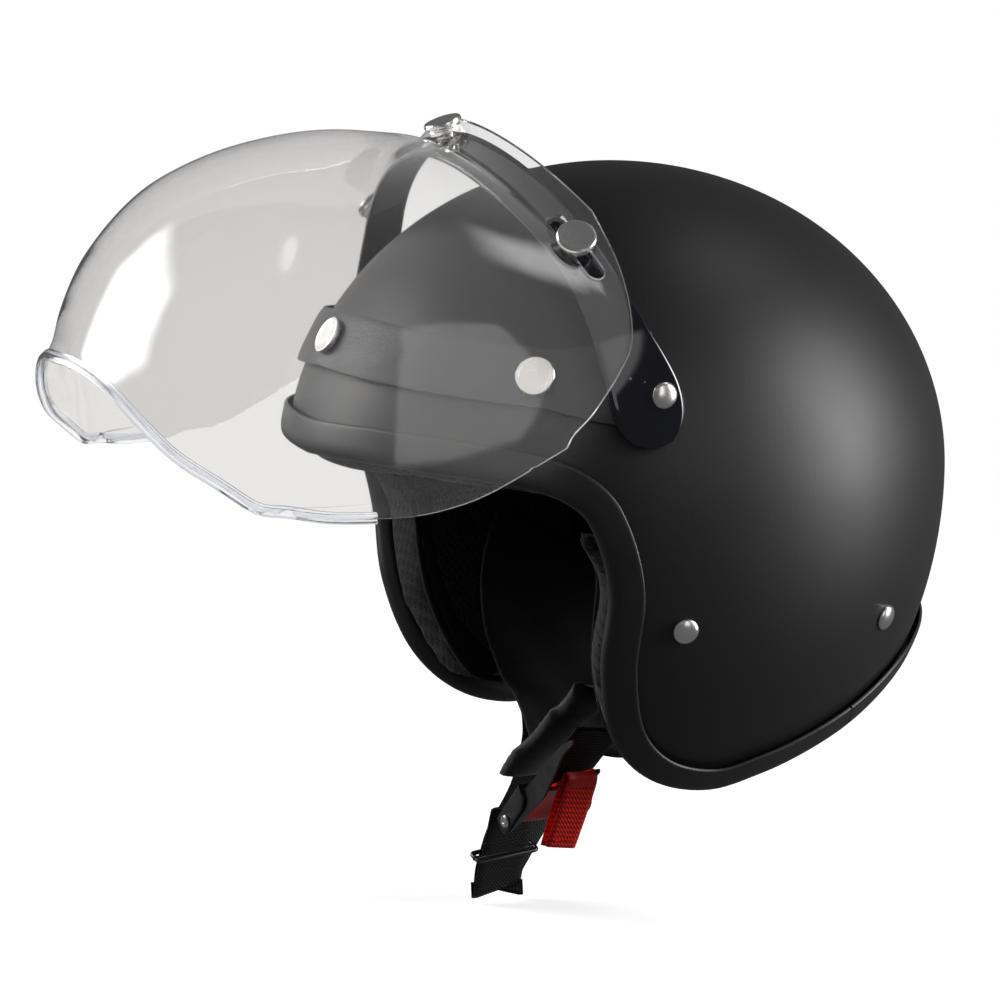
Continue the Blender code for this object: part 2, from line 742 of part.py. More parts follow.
def bubble_visor(flip):
    """Thin blown sheet with a hole at the middle snap and a long slot at each side snap."""
    outer = [[visor_point(p) for p in row] for row in visor_grid(0.0, VISOR_COLUMNS, VISOR_ROWS)]
    inner = [[visor_point(p) for p in row] for row in visor_grid(-VISOR_THICK, VISOR_COLUMNS, VISOR_ROWS)]
    visor = add_object("bubble_visor", sheet_solid(outer, inner),
                       material("smoke_clear"), flip, origin=(0, PIVOT_Y, PIVOT_Z))
    cutters = []
    for word, x, length in (("right", -SNAP_X, SLOT_LONG), ("center", 0.0, SLOT_WIDE),
                            ("left", SNAP_X, SLOT_LONG)):
        foot, axis, along, across = snap_frame(x)
        cutters.append(slot_cutter("slot_" + word, foot + axis * 4, along, across, length, SLOT_WIDE, flip))
    subtract(visor, cutters)


def visor_bead(flip):
    """Clear edge bead pressed over the visor's lower lip, with a slot for the sheet."""
    grid = visor_grid(-VISOR_THICK / 2, VISOR_COLUMNS, VISOR_ROWS)
    edge = [visor_point(p) for p in grid[-1]]
    above = [visor_point(p) for p in grid[-2]]
    frames = []
    for i in range(BEAD_INSET, VISOR_COLUMNS + 1 - BEAD_INSET):
        along = (edge[i + 1] - edge[i - 1]).normalized()
        down = edge[i] - above[i]
        down = (down - along * down.dot(along)).normalized()
        frames.append((edge[i], along.cross(down).normalized(), down))
    slot = VISOR_THICK / 2 + GAP + 0.5
    profile = ((-slot, -2.6), (-2.6, -2.6), (-2.6, 0.9), (-1.1, 2.3), (1.1, 2.3), (2.6, 0.9), (2.6, -2.6),
               (slot, -2.6), (slot, GAP + 0.4), (-slot, GAP + 0.4))
    bm = swept_solid(frames, profile, closed=False)
    add_object("visor_edge_bead", bm, material("clear_bead"), flip,
               origin=(0, PIVOT_Y, PIVOT_Z))


def arch_station(x):
    """Plan point and outward normal of the arch at a half width."""
    if x == 0:
        return Vector((0, ARCH_REACH)), Vector((0, 1))
    path = arch_path(801)[0]
    nearest = min(path[20:-20], key=lambda item: abs(item[0].x - x))
    return nearest[0], nearest[1]


def visor_snaps(flip):
    """Post through the visor and cap over it, at the middle and at both sides."""
    for word, x, lift in (("right", -SNAP_X, SIDE_LIFT), ("center", 0.0, MIDDLE_LIFT),
                          ("left", SNAP_X, SIDE_LIFT)):
        foot, axis, along, across = snap_frame(x)
        round_post("visor_stud_" + word, foot + axis * GAP, axis, POST_R, lift - 2 * GAP, flip)
        snap_cap("visor_snap_cap_" + word, foot + axis * lift, axis, flip, height=2.6)


def pivot_rivets(flip):
    for side, word in ((1, "left"), (-1, "right")):
        place = Vector((side * (ARCH_WIDE + ARCH_THICK + 0.4), PIVOT_Y, PIVOT_Z))
        dome_rivet("pivot_rivet_" + word, place, (side, 0, 0), flip)


# ------------------------------------------------------------------ chin strap

def ribbon(points, count, width, thick, turn=0.0):
    """Flat strap along a path, its width along Y turned about Z by turn degrees."""
    path = smooth_path(points, count)
    frames = []
    wide = Vector((math.sin(math.radians(turn)), math.cos(math.radians(turn)), 0))
    for i, point in enumerate(path):
        along = (path[min(i + 1, count - 1)] - path[max(i - 1, 0)]).normalized()
        across = (wide - along * wide.dot(along)).normalized()
        frames.append((point, across, along.cross(across).normalized()))
    w = width / 2
    t = thick / 2
    return swept_solid(frames, ((-w, -t), (w, -t), (w, t), (-w, t)), closed=False)


def chin_strap(swing):
    pivot = (0, SWING_Y, SWING_Z)
    left = ribbon(WEB_LEFT, 6, WEB_WIDE, WEB_THICK)
    add_object("strap_web_left", left, material("webbing"), swing, origin=pivot)
    right = ribbon(WEB_RIGHT, 26, WEB_WIDE, WEB_THICK, WEB_TURN)
    add_object("strap_web_right", right, material("webbing"), swing, origin=pivot)
    tube = ribbon(SLEEVE, 8, SLEEVE_WIDE, SLEEVE_THICK)
    add_object("strap_sleeve", tube, material("sleeve_fabric"), swing, origin=pivot)


def buckle_axes():
    """Directions along the strap, across it and out of its underside, away from the throat."""
    along = BUCKLE_ALONG.normalized()
    across = Vector((0, 1, 0))
    return along, across, along.cross(across) if along.cross(across).z < 0 else across.cross(along)


def buckle_frame(swing):
    """Folded channel: a floor and two side walls that hold the lever's pin."""
    along, across, out = buckle_axes()
    bm = bmesh.new()
    w = BUCKLE_HALF
    wall = 1.5
    profile = ((-w, -2), (w, -2), (w, 7), (w - wall, 7), (w - wall, -0.5), (wall - w, -0.5), (wall - w, 7),
               (-w, 7))
    rings = []
    for step in (-BUCKLE_REACH, BUCKLE_REACH):
        base = BUCKLE_AT + along * step
        rings.append([bm.verts.new(base + across * a + out * o) for a, o in profile])
    ring_faces(bm, rings[0], rings[1])
    bm.faces.new(rings[0])
    bm.faces.new(rings[1])
    add_object("buckle_frame", bm, material("dark_steel"), swing, origin=(0, SWING_Y, SWING_Z))
    for side, word in ((-1, "front"), (1, "rear")):
        head = lever_pivot() + across * side * (w + GAP)
        round_post("buckle_pin_" + word, head, across * side, 2.6, 1.4, swing)


def lever_pivot():
    along, across, out = buckle_axes()
    return BUCKLE_AT - along * PIN_BACK + out * PIN_LIFT


def buckle_lever(lever):
    """Pressed lever from the pin up to its red finger end, lying along the strap."""
    along, across, out = buckle_axes()
    pivot = lever_pivot()
    bm = bmesh.new()
    rings = []
    for a in (-LEVER_HALF, LEVER_HALF):
        rings.append([bm.verts.new(pivot + along * s + out * o + across * a) for s, o in LEVER_SIDE])
    ring_faces(bm, rings[0], rings[1])
    bm.faces.new(rings[0])
    bm.faces.new(rings[1])
    add_object("buckle_lever", bm, material("red_plastic"), lever, origin=pivot)


def pull_tab(lever):
    """Red webbing loop that hangs from the lever's finger end."""
    along, across, out = buckle_axes()
    top = lever_pivot() + along * 42 + out * 5.6
    end = top + TAB_DROP
    bulge = top.lerp(end, 0.5) + Vector((1.5, 0, 0))
    bm = ribbon((tuple(top), tuple(bulge), tuple(end)), 6, TAB_WIDE, TAB_THICK)
    add_object("pull_tab", bm, material("red_webbing"), lever, origin=tuple(lever_pivot()))


def strap_adjuster(swing):
    """Slide on the webbing: a flat frame around it."""
    along = SLIDE_ALONG.normalized()
    across = Vector((math.sin(math.radians(WEB_TURN)), math.cos(math.radians(WEB_TURN)), 0))
    across = (across - along * across.dot(along)).normalized()
    out = across.cross(along)
    bm = bmesh.new()
    loops = []
    for w, t in SLIDE_SIZES:
        for step in (-SLIDE_HALF, SLIDE_HALF):
            base = SLIDE_AT + along * step
            loops.append([bm.verts.new(base + across * a * w + out * o * t)
                          for a, o in ((-1, -1), (1, -1), (1, 1), (-1, 1))])
    ring_faces(bm, loops[0], loops[1])
    ring_faces(bm, loops[2], loops[3])
    ring_faces(bm, loops[0], loops[2])
    ring_faces(bm, loops[1], loops[3])
    add_object("strap_adjuster", bm, material("dark_steel"), swing, origin=tuple(SLIDE_AT))


# ------------------------------------------------------------------ assembly

def stand_on_origin(root):
    """Lift the helmet so that the middle of its box's underside is at the world's origin."""
    bpy.context.view_layer.update()
    graph = bpy.context.evaluated_depsgraph_get()
    corners = []
    for obj in bpy.context.scene.objects:
        if obj.type == "MESH" and not obj.hide_render:
            seen = obj.evaluated_get(graph)
            corners += [seen.matrix_world @ vert.co for vert in seen.data.vertices]
    low = [min(c[i] for c in corners) for i in range(3)]
    high = [max(c[i] for c in corners) for i in range(3)]
    root.location = (0, -(low[1] + high[1]) / 2, -low[2])


def helmet():
    clear_scene()
    root = empty("helmet_root", (0, 0, 0))
    outer_shell(root)
    edge_trim(root)
    eps_liner(root)
    comfort_liner(root)
    brow_pad(root)
    cheek_pad("cheek_pad_left", 1, root)
    cheek_pad("cheek_pad_right", -1, root)
    neck_roll(root)
    base_strap(root)
    brow_snaps(root)
    shell_rivets(root)
    build_moving(root)
    stand_on_origin(root)


def build_moving(root):
    flip = empty("visor_flip_axis", (0, 0, 0), root)
    pivot = Vector((0, PIVOT_Y, PIVOT_Z)) * MM
    turn = Matrix.Rotation(math.radians(-RAISE), 4, "X")
    flip.matrix_local = Matrix.Translation(pivot) @ turn @ Matrix.Translation(-pivot)
    flip_arch(flip)
    bubble_visor(flip)
    visor_bead(flip)
    visor_snaps(flip)
    pivot_rivets(flip)
    swing = empty("strap_swing_axis", (0, 0, 0), root)
    chin_strap(swing)
    buckle_frame(swing)
    lever = empty("lever_axis", (0, 0, 0), swing)
    buckle_lever(lever)
    pull_tab(lever)
    strap_adjuster(swing)


helmet()
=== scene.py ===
"""Looks of the open face helmet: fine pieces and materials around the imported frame.

Shapes are laid out in millimetres about the centre of the shell's egg, as the frame is, and
the frame's visor pivot says where that centre lies.  The wearer faces -Y and +X is their left.
"""
import json
import math

import bmesh
import bpy
from mathutils import Matrix, Vector


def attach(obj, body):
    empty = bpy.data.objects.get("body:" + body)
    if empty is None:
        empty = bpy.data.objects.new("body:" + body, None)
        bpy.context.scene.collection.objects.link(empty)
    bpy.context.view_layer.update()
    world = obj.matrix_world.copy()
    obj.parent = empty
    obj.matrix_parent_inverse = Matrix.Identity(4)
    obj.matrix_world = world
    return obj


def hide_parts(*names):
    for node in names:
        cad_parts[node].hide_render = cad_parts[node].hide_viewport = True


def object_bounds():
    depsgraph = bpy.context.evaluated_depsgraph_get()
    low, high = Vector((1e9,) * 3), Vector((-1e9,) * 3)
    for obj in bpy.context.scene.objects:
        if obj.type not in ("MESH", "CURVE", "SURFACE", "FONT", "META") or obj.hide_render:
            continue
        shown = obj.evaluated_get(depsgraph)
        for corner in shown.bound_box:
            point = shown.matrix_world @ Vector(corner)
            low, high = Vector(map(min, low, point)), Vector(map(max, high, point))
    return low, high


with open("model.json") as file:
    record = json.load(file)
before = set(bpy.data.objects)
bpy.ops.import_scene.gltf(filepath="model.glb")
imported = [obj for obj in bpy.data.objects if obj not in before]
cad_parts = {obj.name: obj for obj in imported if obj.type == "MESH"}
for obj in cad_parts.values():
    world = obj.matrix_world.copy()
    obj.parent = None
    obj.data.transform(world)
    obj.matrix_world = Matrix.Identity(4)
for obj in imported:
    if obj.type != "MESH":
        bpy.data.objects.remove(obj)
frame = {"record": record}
CAD_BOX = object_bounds()

MM = 0.001

# Shell: half axes of its egg, and its rim as (azimuth from the face, height) for the left half
SHELL_WIDE = 122.5
SHELL_FRONT = 128.6
SHELL_BACK = 138.0
SHELL_UP = 121.4
SHELL_DOWN = 156.0
SHELL_THICK = 4.0
POLE_TILT = 38.0
RIM = ((0, 18), (26, 18.5), (47, 15), (57, 9), (62.5, -3), (65.6, -28), (64.4, -58),
       (66.5, -86), (75, -103), (90, -109.5), (104, -105), (122, -95), (143, -78),
       (162, -66), (180, -62))
EPS_SKIN = 5.6
EPS_THICK = 20.0
LINER_THICK = 7.0
LINER_RIM = ((0, 30), (45, 29), (60, 22), (72, 2), (90, -6), (110, -12), (135, -22), (180, -26))

# Flip arch and visor about the pivots
PIVOT_Y = -37.6
PIVOT_Z = 45.0
RAISE = 63.0
ARCH_TILT = 7.0
ARCH_WIDE = 117.2
ARCH_REACH = 89.3
ARCH_POWER = 1.75
ARCH_THICK = 2.0
ARCH_TAIL = 17.5
ARCH_HALF = ((0, 4.5), (3.5, 9.5), (9, 13), (17, 14.5), (30, 13.3), (45, 11), (60, 9.5), (90, 9), (130, 10))
ARCH_MIDDLE = ((0, -6), (17, -6.5), (35, -6), (50, -4.8), (75, -2.5), (130, -2))
BAND_THICK = 1.6
SNAP_R = 7.5
RIVET_R = 5.0
VISOR_THICK = 2.0
SNAP_X = 87.0
SNAP_DROP = -2.0
SIDE_LIFT = 6.3
MIDDLE_LIFT = 6.6
SLOT_LONG = 34.0
SLOT_WIDE = 7.4
POST_R = 2.9
VISOR_TOP = 19.0
BEAD_TOP = -113.0
VISOR_PROFILE = ((-166, 97), (-160, 97.5), (-153, 101), (-143, 110), (-127, 121.3), (-101, 130.3),
                 (-78, 130.8), (-54, 126.5), (-30, 118), (-7, 104.2), (-1, 99.8), (3, 96), (7, 94.4),
                 (12, 94.2), (19, 96.4))
VISOR_HALF = ((-168, 77), (-160, 87), (-152, 93.5), (-149, 96), (-146, 98.65), (-139, 103.7),
              (-128, 109.2), (-114, 114.5), (-100, 118), (-80, 120.8), (-50, 122.8), (-24, 123.4),
              (-12, 123.2), (-2, 122.6), (19, 122.6))
VISOR_SIDE = ((-168, 24), (-152, 28), (-146, 29), (-139, 28), (-128, 22), (-114, 15), (-100, 9),
              (-80, 4.5), (-50, 3.8), (-24, 4), (-12, 3), (-2, 1), (4, 0), (19, 0))
VISOR_POWER = ((-166, 1.85), (-120, 2.05), (-60, 2.1), (-10, 1.8), (4, 1.75), (19, 1.75))
VISOR_COVER = ((-60, 1), (-40, 0.9998), (-24, 0.9965), (-12, 0.985), (-2, 0.961), (4, 0.923), (9, 0.877),
               (14, 0.807), (19, 0.69))
VISOR_LIP = ((0, -166), (24, -163.5), (42, -162.6), (60, -162.4), (76, -159.6), (92, -151.5), (98.4, -146),
             (103.7, -139))

JOINTS = {joint["name"]: joint for joint in frame["record"]["behaviour"]["joints"]}
CENTRE = Vector(JOINTS["visor_flip"]["pos_m"]) - Vector((0, PIVOT_Y, PIVOT_Z)) * MM

BODY_HELMET = "helmet"
BODY_VISOR = "visor_frame"
BODY_STRAP = "chin_strap"
BODY_LEVER = "lever"
BODY_ADJUSTER = "adjuster"


# ------------------------------------------------------------------ curves and surfaces

def lerp(a, b, t):
    return a + (b - a) * t


def smooth_step(low, high, x):
    t = min(max((x - low) / (high - low), 0.0), 1.0)
    return t * t * (3 - 2 * t)


def smooth_table(points, x):
    """Value at x of a smooth curve through (x, y) pairs with rising x."""
    last = len(points) - 1
    if x <= points[0][0]:
        return points[0][1]
    if x >= points[last][0]:
        return points[last][1]
    i = max(k for k in range(last) if points[k][0] <= x)
    x0, y0 = points[i]
    x1, y1 = points[i + 1]
    before = points[max(i - 1, 0)]
    after = points[min(i + 2, last)]
    slope0 = (y1 - before[1]) / (x1 - before[0])
    slope1 = (after[1] - y0) / (after[0] - x0)
    h = x1 - x0
    t = (x - x0) / h
    a = 2 * t ** 3 - 3 * t ** 2 + 1
    b = t ** 3 - 2 * t ** 2 + t
    c = 3 * t ** 2 - 2 * t ** 3
    d = t ** 3 - t ** 2
    return a * y0 + b * h * slope0 + c * y1 + d * h * slope1


def smooth_path(points, count, closed=False, detail=12):
    """Evenly spaced points along a smooth curve through 2-D or 3-D points."""
    pts = [Vector(p) for p in points]
    total = len(pts)
    dense = []
    for i in range(total if closed else total - 1):
        if closed:
            p0, p1, p2, p3 = (pts[(i + k) % total] for k in (-1, 0, 1, 2))
        else:
            p0 = pts[max(i - 1, 0)]
            p1 = pts[i]
            p2 = pts[i + 1]
            p3 = pts[min(i + 2, total - 1)]
        for k in range(detail):
            t = k / detail
            dense.append(0.5 * (2 * p1 + (p2 - p0) * t + (2 * p0 - 5 * p1 + 4 * p2 - p3) * t ** 2
                                + (3 * p1 - p0 - 3 * p2 + p3) * t ** 3))
    dense.append(pts[0] if closed else pts[-1])
    return even_points(dense, count + 1 if closed else count)[:count]


def even_points(dense, count):
    """Resample a polyline at even steps of its length."""
    lengths = [0.0]
    for a, b in zip(dense, dense[1:]):
        lengths.append(lengths[-1] + (b - a).length)
    out = []
    j = 0
    for k in range(count):
        want = lengths[-1] * k / (count - 1)
        while j < len(dense) - 2 and lengths[j + 1] < want:
            j += 1
        span = max(lengths[j + 1] - lengths[j], 1e-9)
        out.append(dense[j].lerp(dense[j + 1], min((want - lengths[j]) / span, 1.0)))
    return out


def egg(direction, off):
    x, y, z = direction
    depth = SHELL_BACK if y > 0 else SHELL_FRONT
    high = SHELL_UP if z > 0 else SHELL_DOWN
    return Vector((x * (SHELL_WIDE + off), y * (depth + off), z * (high + off)))


def egg_unit(azimuth, z):
    phi = math.radians(azimuth)
    side = math.sin(phi)
    ahead = -math.cos(phi)
    depth = SHELL_BACK if ahead > 0 else SHELL_FRONT
    level = z / (SHELL_UP if z > 0 else SHELL_DOWN)
    reach = math.sqrt(1 - level ** 2) / math.hypot(side / SHELL_WIDE, ahead / depth)
    return Vector((side * reach / SHELL_WIDE, ahead * reach / depth, level))


def egg_point(azimuth, z, off):
    return egg(egg_unit(azimuth, z), off)


def egg_normal(point):
    depth = SHELL_BACK if point.y > 0 else SHELL_FRONT
    high = SHELL_UP if point.z > 0 else SHELL_DOWN
    return Vector((point.x / SHELL_WIDE ** 2, point.y / depth ** 2, point.z / high ** 2)).normalized()


def rim_units(points, count):
    """Unit vectors, evenly spaced along a rim given for its left half, all the way round."""
    half = smooth_path([tuple(egg_unit(a, z)) for a, z in points], count // 2 + 1)
    left = [v.normalized() for v in half]
    left[0].x = 0.0
    left[-1].x = 0.0
    right = [Vector((-v.x, v.y, v.z)) for v in reversed(left[1:-1])]
    return left + right


def rim_frames(count, off=0.0):
    """Point, surface normal and direction away from the shell at points along its rim."""
    points = [egg(unit, off) for unit in rim_units(RIM, count)]
    frames = []
    for i, point in enumerate(points):
        along = (points[(i + 1) % count] - points[i - 1]).normalized()
        normal = egg_normal(point)
        frames.append((point, normal, along.cross(normal).normalized()))
    return frames


# ------------------------------------------------------------------ mesh helpers

def ring_faces(bm, ring_a, ring_b, closed=True):
    faces = []
    count = len(ring_a)
    for i in range(count if closed else count - 1):
        j = (i + 1) % count
        faces.append(bm.faces.new((ring_a[i], ring_a[j], ring_b[j], ring_b[i])))
    return faces


def finish_mesh(name, bm, mats, body, stands_for=(), sharp=40, bevel=0.0, subdiv=0):
    """Turn a bmesh in millimetres into a smooth piece that rides on its body."""
    bmesh.ops.recalc_face_normals(bm, faces=bm.faces)
    if bm.calc_volume(signed=True) < 0:
        bmesh.ops.reverse_faces(bm, faces=bm.faces)
    matrix = Matrix.Translation(CENTRE) @ Matrix.Scale(MM, 4)
    bmesh.ops.transform(bm, matrix=matrix, verts=bm.verts)
    mesh = bpy.data.meshes.new(name)
    bm.to_mesh(mesh)
    bm.free()
    mesh.shade_smooth()
    if sharp:
        mesh.set_sharp_from_angle(angle=math.radians(sharp))
    for mat in mats if isinstance(mats, (list, tuple)) else [mats]:
        mesh.materials.append(mat)
    obj = bpy.data.objects.new(name, mesh)
    bpy.context.scene.collection.objects.link(obj)
    if bevel:
        mod = obj.modifiers.new("bevel", "BEVEL")
        mod.width = bevel * MM
        mod.segments = 3
        mod.limit_method = "ANGLE"
        mod.angle_limit = math.radians(38)
        mod.harden_normals = False
    if subdiv:
        mod = obj.modifiers.new("subdivision", "SUBSURF")
        mod.levels = subdiv
        mod.render_levels = subdiv
    ride_on(obj, body, stands_for)
    return obj


def ride_on(obj, body, stands_for=()):
    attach(obj, body)
    if stands_for:
        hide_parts(*((stands_for,) if isinstance(stands_for, str) else stands_for))


def flip_matrix():
    """Carries the closed visor's layout to the raised position shown."""
    pivot = Vector((0, PIVOT_Y, PIVOT_Z))
    turn = Matrix.Rotation(math.radians(-RAISE), 4, "X")
    return Matrix.Translation(pivot) @ turn @ Matrix.Translation(-pivot)


def raise_up(bm):
    bmesh.ops.transform(bm, matrix=flip_matrix(), verts=bm.verts)
    return bm


def dome_solid(rim, rings, off_out, off_in, rings_in, swell=None):
    """Closed shell, open at its rim: two domes joined along the rim."""
    bm = bmesh.new()
    uv = bm.loops.layers.uv.new("UVMap")
    tilt = math.radians(POLE_TILT)
    pole = Vector((0, math.sin(tilt), math.cos(tilt)))
    edges = []
    for off, steps in ((off_out, rings), (off_in, rings_in)):
        rows = []
        for k in range(1, steps + 1):
            row = []
            for unit in rim:
                spot = pole.slerp(unit, k / steps)
                extra = swell(spot) if swell and off == off_in else 0.0
                row.append(bm.verts.new(egg(spot, off - extra)))
            rows.append(row)
        extra = swell(pole) if swell and off == off_in else 0.0
        top = bm.verts.new(egg(pole, off - extra))
        for i, vert in enumerate(rows[0]):
            bm.faces.new((top, vert, rows[0][(i + 1) % len(rim)]))
        for a, b in zip(rows, rows[1:]):
            ring_faces(bm, a, b)
        edges.append(rows[-1])
    ring_faces(bm, edges[0], edges[1])
    for face in bm.faces:
        for loop in face.loops:
            co = loop.vert.co
            loop[uv].uv = (math.atan2(co.x, -co.y) * SHELL_WIDE * MM, co.z * MM)
    return bm


def swept_solid(frames, profile, closed, profile_of=None):
    """Sweep a closed (u, v) profile along frames of (point, u axis, v axis), with UVs in metres."""
    bm = bmesh.new()
    uv = bm.loops.layers.uv.new("UVMap")
    rings = []
    runs = [0.0]
    girth = [0.0]
    for a, b in zip(frames, frames[1:]):
        runs.append(runs[-1] + (b[0] - a[0]).length * MM)
    for a, b in zip(profile, profile[1:]):
        girth.append(girth[-1] + math.hypot(b[0] - a[0], b[1] - a[1]) * MM)
    place = {}
    for r, (point, u_axis, v_axis) in enumerate(frames):
        shape = profile_of(r) if profile_of else profile
        ring = []
        for g, (u, v) in enumerate(shape):
            vert = bm.verts.new(point + u_axis * u + v_axis * v)
            place[vert] = (girth[g], runs[r])
            ring.append(vert)
        rings.append(ring)
    for a, b in zip(rings, rings[1:]):
        ring_faces(bm, a, b)
    if closed:
        ring_faces(bm, rings[-1], rings[0])
    else:
        bm.faces.new(rings[0])
        bm.faces.new(rings[-1])
    for face in bm.faces:
        for loop in face.loops:
            loop[uv].uv = place[loop.vert]
    return bm


def sheet_solid(outer, inner, rim_slot=0, inner_slot=0):
    """Closed solid between two grids of points; the narrow border takes its own material slot."""
    bm = bmesh.new()
    uv = bm.loops.layers.uv.new("UVMap")
    grids = []
    place = {}
    for grid in (outer, inner):
        rows = []
        down = 0.0
        for j, row in enumerate(grid):
            across = 0.0
            if j:
                down += (row[len(row) // 2] - grid[j - 1][len(row) // 2]).length * MM
            verts = []
            for i, point in enumerate(row):
                if i:
                    across += (point - row[i - 1]).length * MM
                vert = bm.verts.new(point)
                place[vert] = (across, down)
                verts.append(vert)
            rows.append(verts)
        grids.append(rows)
    for slot, grid in zip((0, inner_slot), grids):
        for row_a, row_b in zip(grid, grid[1:]):
            for face in ring_faces(bm, row_a, row_b, closed=False):
                face.material_index = slot
    borders = [border_of(grid) for grid in grids]
    for face in ring_faces(bm, borders[0], borders[1]):
        face.material_index = rim_slot
    for face in bm.faces:
        for loop in face.loops:
            loop[uv].uv = place[loop.vert]
    return bm


def border_of(grid):
    top = grid[0]
    right = [row[-1] for row in grid[1:-1]]
    bottom = list(reversed(grid[-1]))
    left = [row[0] for row in reversed(grid[1:-1])]
    return top + right + bottom + left


def turned_solid(place, axis, profile, segments=64):
    """Solid of revolution from (radius, height) pairs; the first and last are on the axis."""
    bm = bmesh.new()
    axis = Vector(axis).normalized()
    side = axis.orthogonal().normalized()
    other = axis.cross(side)
    place = Vector(place)
    rings = []
    for radius, height in profile:
        centre = place + axis * height
        if radius == 0:
            rings.append([bm.verts.new(centre)])
            continue
        angles = [2 * math.pi * k / segments for k in range(segments)]
        rings.append([bm.verts.new(centre + (side * math.cos(a) + other * math.sin(a)) * radius) for a in angles])
    for a, b in zip(rings, rings[1:]):
        if len(a) == 1 or len(b) == 1:
            tip, ring = (a[0], b) if len(a) == 1 else (b[0], a)
            for k in range(segments):
                bm.faces.new((tip, ring[k], ring[(k + 1) % segments]))
        else:
            ring_faces(bm, a, b)
    return bm


def tube(points, radius, closed=False, sides=12):
    """Round cord along points."""
    bm = bmesh.new()
    count = len(points)
    rings = []
    side = None
    for i, point in enumerate(points):
        if closed:
            along = (points[(i + 1) % count] - points[i - 1]).normalized()
        else:
            along = (points[min(i + 1, count - 1)] - points[max(i - 1, 0)]).normalized()
        if side is None:
            side = along.orthogonal().normalized()
        side = (side - along * side.dot(along)).normalized()
        other = along.cross(side)
        angles = [2 * math.pi * k / sides for k in range(sides)]
        rings.append([bm.verts.new(point + (side * math.cos(a) + other * math.sin(a)) * radius) for a in angles])
    for a, b in zip(rings, rings[1:]):
        ring_faces(bm, a, b)
    if closed:
        # the last ring may have twisted against the first: join it at the nearest turn
        last = rings[-1]
        turn = min(range(sides), key=lambda k: (last[k].co - rings[0][0].co).length)
        ring_faces(bm, last[turn:] + last[:turn], rings[0])
    else:
        bm.faces.new(rings[0])
        bm.faces.new(rings[-1])
    return bm


# ------------------------------------------------------------------ materials

class Look:
    """A node material with short calls for its nodes."""

    def __init__(self, name, colour, rough, metal=0.0):
        self.mat = bpy.data.materials.new(name)
        self.mat.use_nodes = True
        self.nodes = self.mat.node_tree.nodes
        self.links = self.mat.node_tree.links
        self.bsdf = self.nodes["Principled BSDF"]
        self.bsdf.inputs["Base Color"].default_value = (*colour, 1)
        self.bsdf.inputs["Roughness"].default_value = rough
        self.bsdf.inputs["Metallic"].default_value = metal
        self.colour = colour
        self.rough = rough
        self.height = None

    def set(self, **values):
        for key, value in values.items():
            self.bsdf.inputs[key.replace("_", " ")].default_value = value
        return self

    def put(self, value, socket):
        if isinstance(value, bpy.types.NodeSocket):
            self.links.new(value, socket)
        elif value is not None:
            socket.default_value = value

    def node(self, kind, **inputs):
        made = self.nodes.new(kind)
        for key, value in inputs.items():
            self.put(value, made.inputs[key.replace("_", " ")])
        return made

    def math(self, how, a, b=0.0, c=0.0):
        made = self.nodes.new("ShaderNodeMath")
        made.operation = how
        for value, socket in zip((a, b, c), made.inputs):
            self.put(value, socket)
        return made.outputs[0]

    def coords(self, kind="Object"):
        return self.node("ShaderNodeTexCoord").outputs[kind]

    def axes(self, kind="UV"):
        split = self.node("ShaderNodeSeparateXYZ", Vector=self.coords(kind))
        return split.outputs[0], split.outputs[1], split.outputs[2]

    def noise(self, scale, detail=3.0, rough=0.5, kind="Object"):
        made = self.node("ShaderNodeTexNoise", Vector=self.coords(kind), Scale=scale, Detail=detail, Roughness=rough)
        return made.outputs["Fac"]

    def cells(self, scale, kind="Object", feature="F1"):
        made = self.node("ShaderNodeTexVoronoi", Vector=self.coords(kind), Scale=scale)
        made.feature = feature
        return made.outputs["Distance"]

    def band(self, low, high, value, to_low=0.0, to_high=1.0):
        made = self.node("ShaderNodeMapRange")
        made.interpolation_type = "SMOOTHSTEP"
        for socket, item in zip(made.inputs, (value, low, high, to_low, to_high)):
            self.put(item, socket)
        return made.outputs[0]

    def tint(self, factor, low, high):
        made = self.nodes.new("ShaderNodeMix")
        made.data_type = "RGBA"
        self.put(factor, made.inputs[0])
        made.inputs[6].default_value = (*low, 1)
        made.inputs[7].default_value = (*high, 1)
        self.put(made.outputs[2], self.bsdf.inputs["Base Color"])
        return made.outputs[2]

    def shine(self, factor, low, high):
        self.put(self.band(0.0, 1.0, factor, low, high), self.bsdf.inputs["Roughness"])

    def bump(self, height, depth, strength=1.0):
        """Height of 0 to 1 stands depth metres proud; bumps add up."""
        made = self.node("ShaderNodeBump", Height=height, Distance=depth, Strength=strength)
        if self.height is not None:
            self.links.new(self.height, made.inputs["Normal"])
        self.height = made.outputs[0]
        self.links.new(self.height, self.bsdf.inputs["Normal"])
        return self


def scaled(colour, factor):
    return tuple(c * factor for c in colour)


def paint_look():
    """Matt black paint: fine grain, faint haze of handling."""
    look = Look("matte_black", (0.0072, 0.0072, 0.0078), 0.46)
    haze = look.noise(9.0, 4.0)
    look.tint(haze, (0.0055, 0.0055, 0.006), (0.0095, 0.0095, 0.0102))
    look.shine(look.noise(26.0, 5.0), 0.43, 0.5)
    look.bump(look.noise(2600.0, 2.0), 0.00004)
    look.bump(look.noise(340.0, 2.0), 0.00002)
    look.set(Specular_IOR_Level=0.5)
    return look.mat


def rubber_look():
    look = Look("trim_rubber", (0.014, 0.014, 0.0145), 0.4)
    look.tint(look.noise(60.0, 4.0), (0.010, 0.010, 0.0105), (0.020, 0.0195, 0.019))
    look.shine(look.noise(90.0, 4.0), 0.34, 0.5)
    look.bump(look.noise(1500.0, 3.0), 0.00005)
    return look.mat


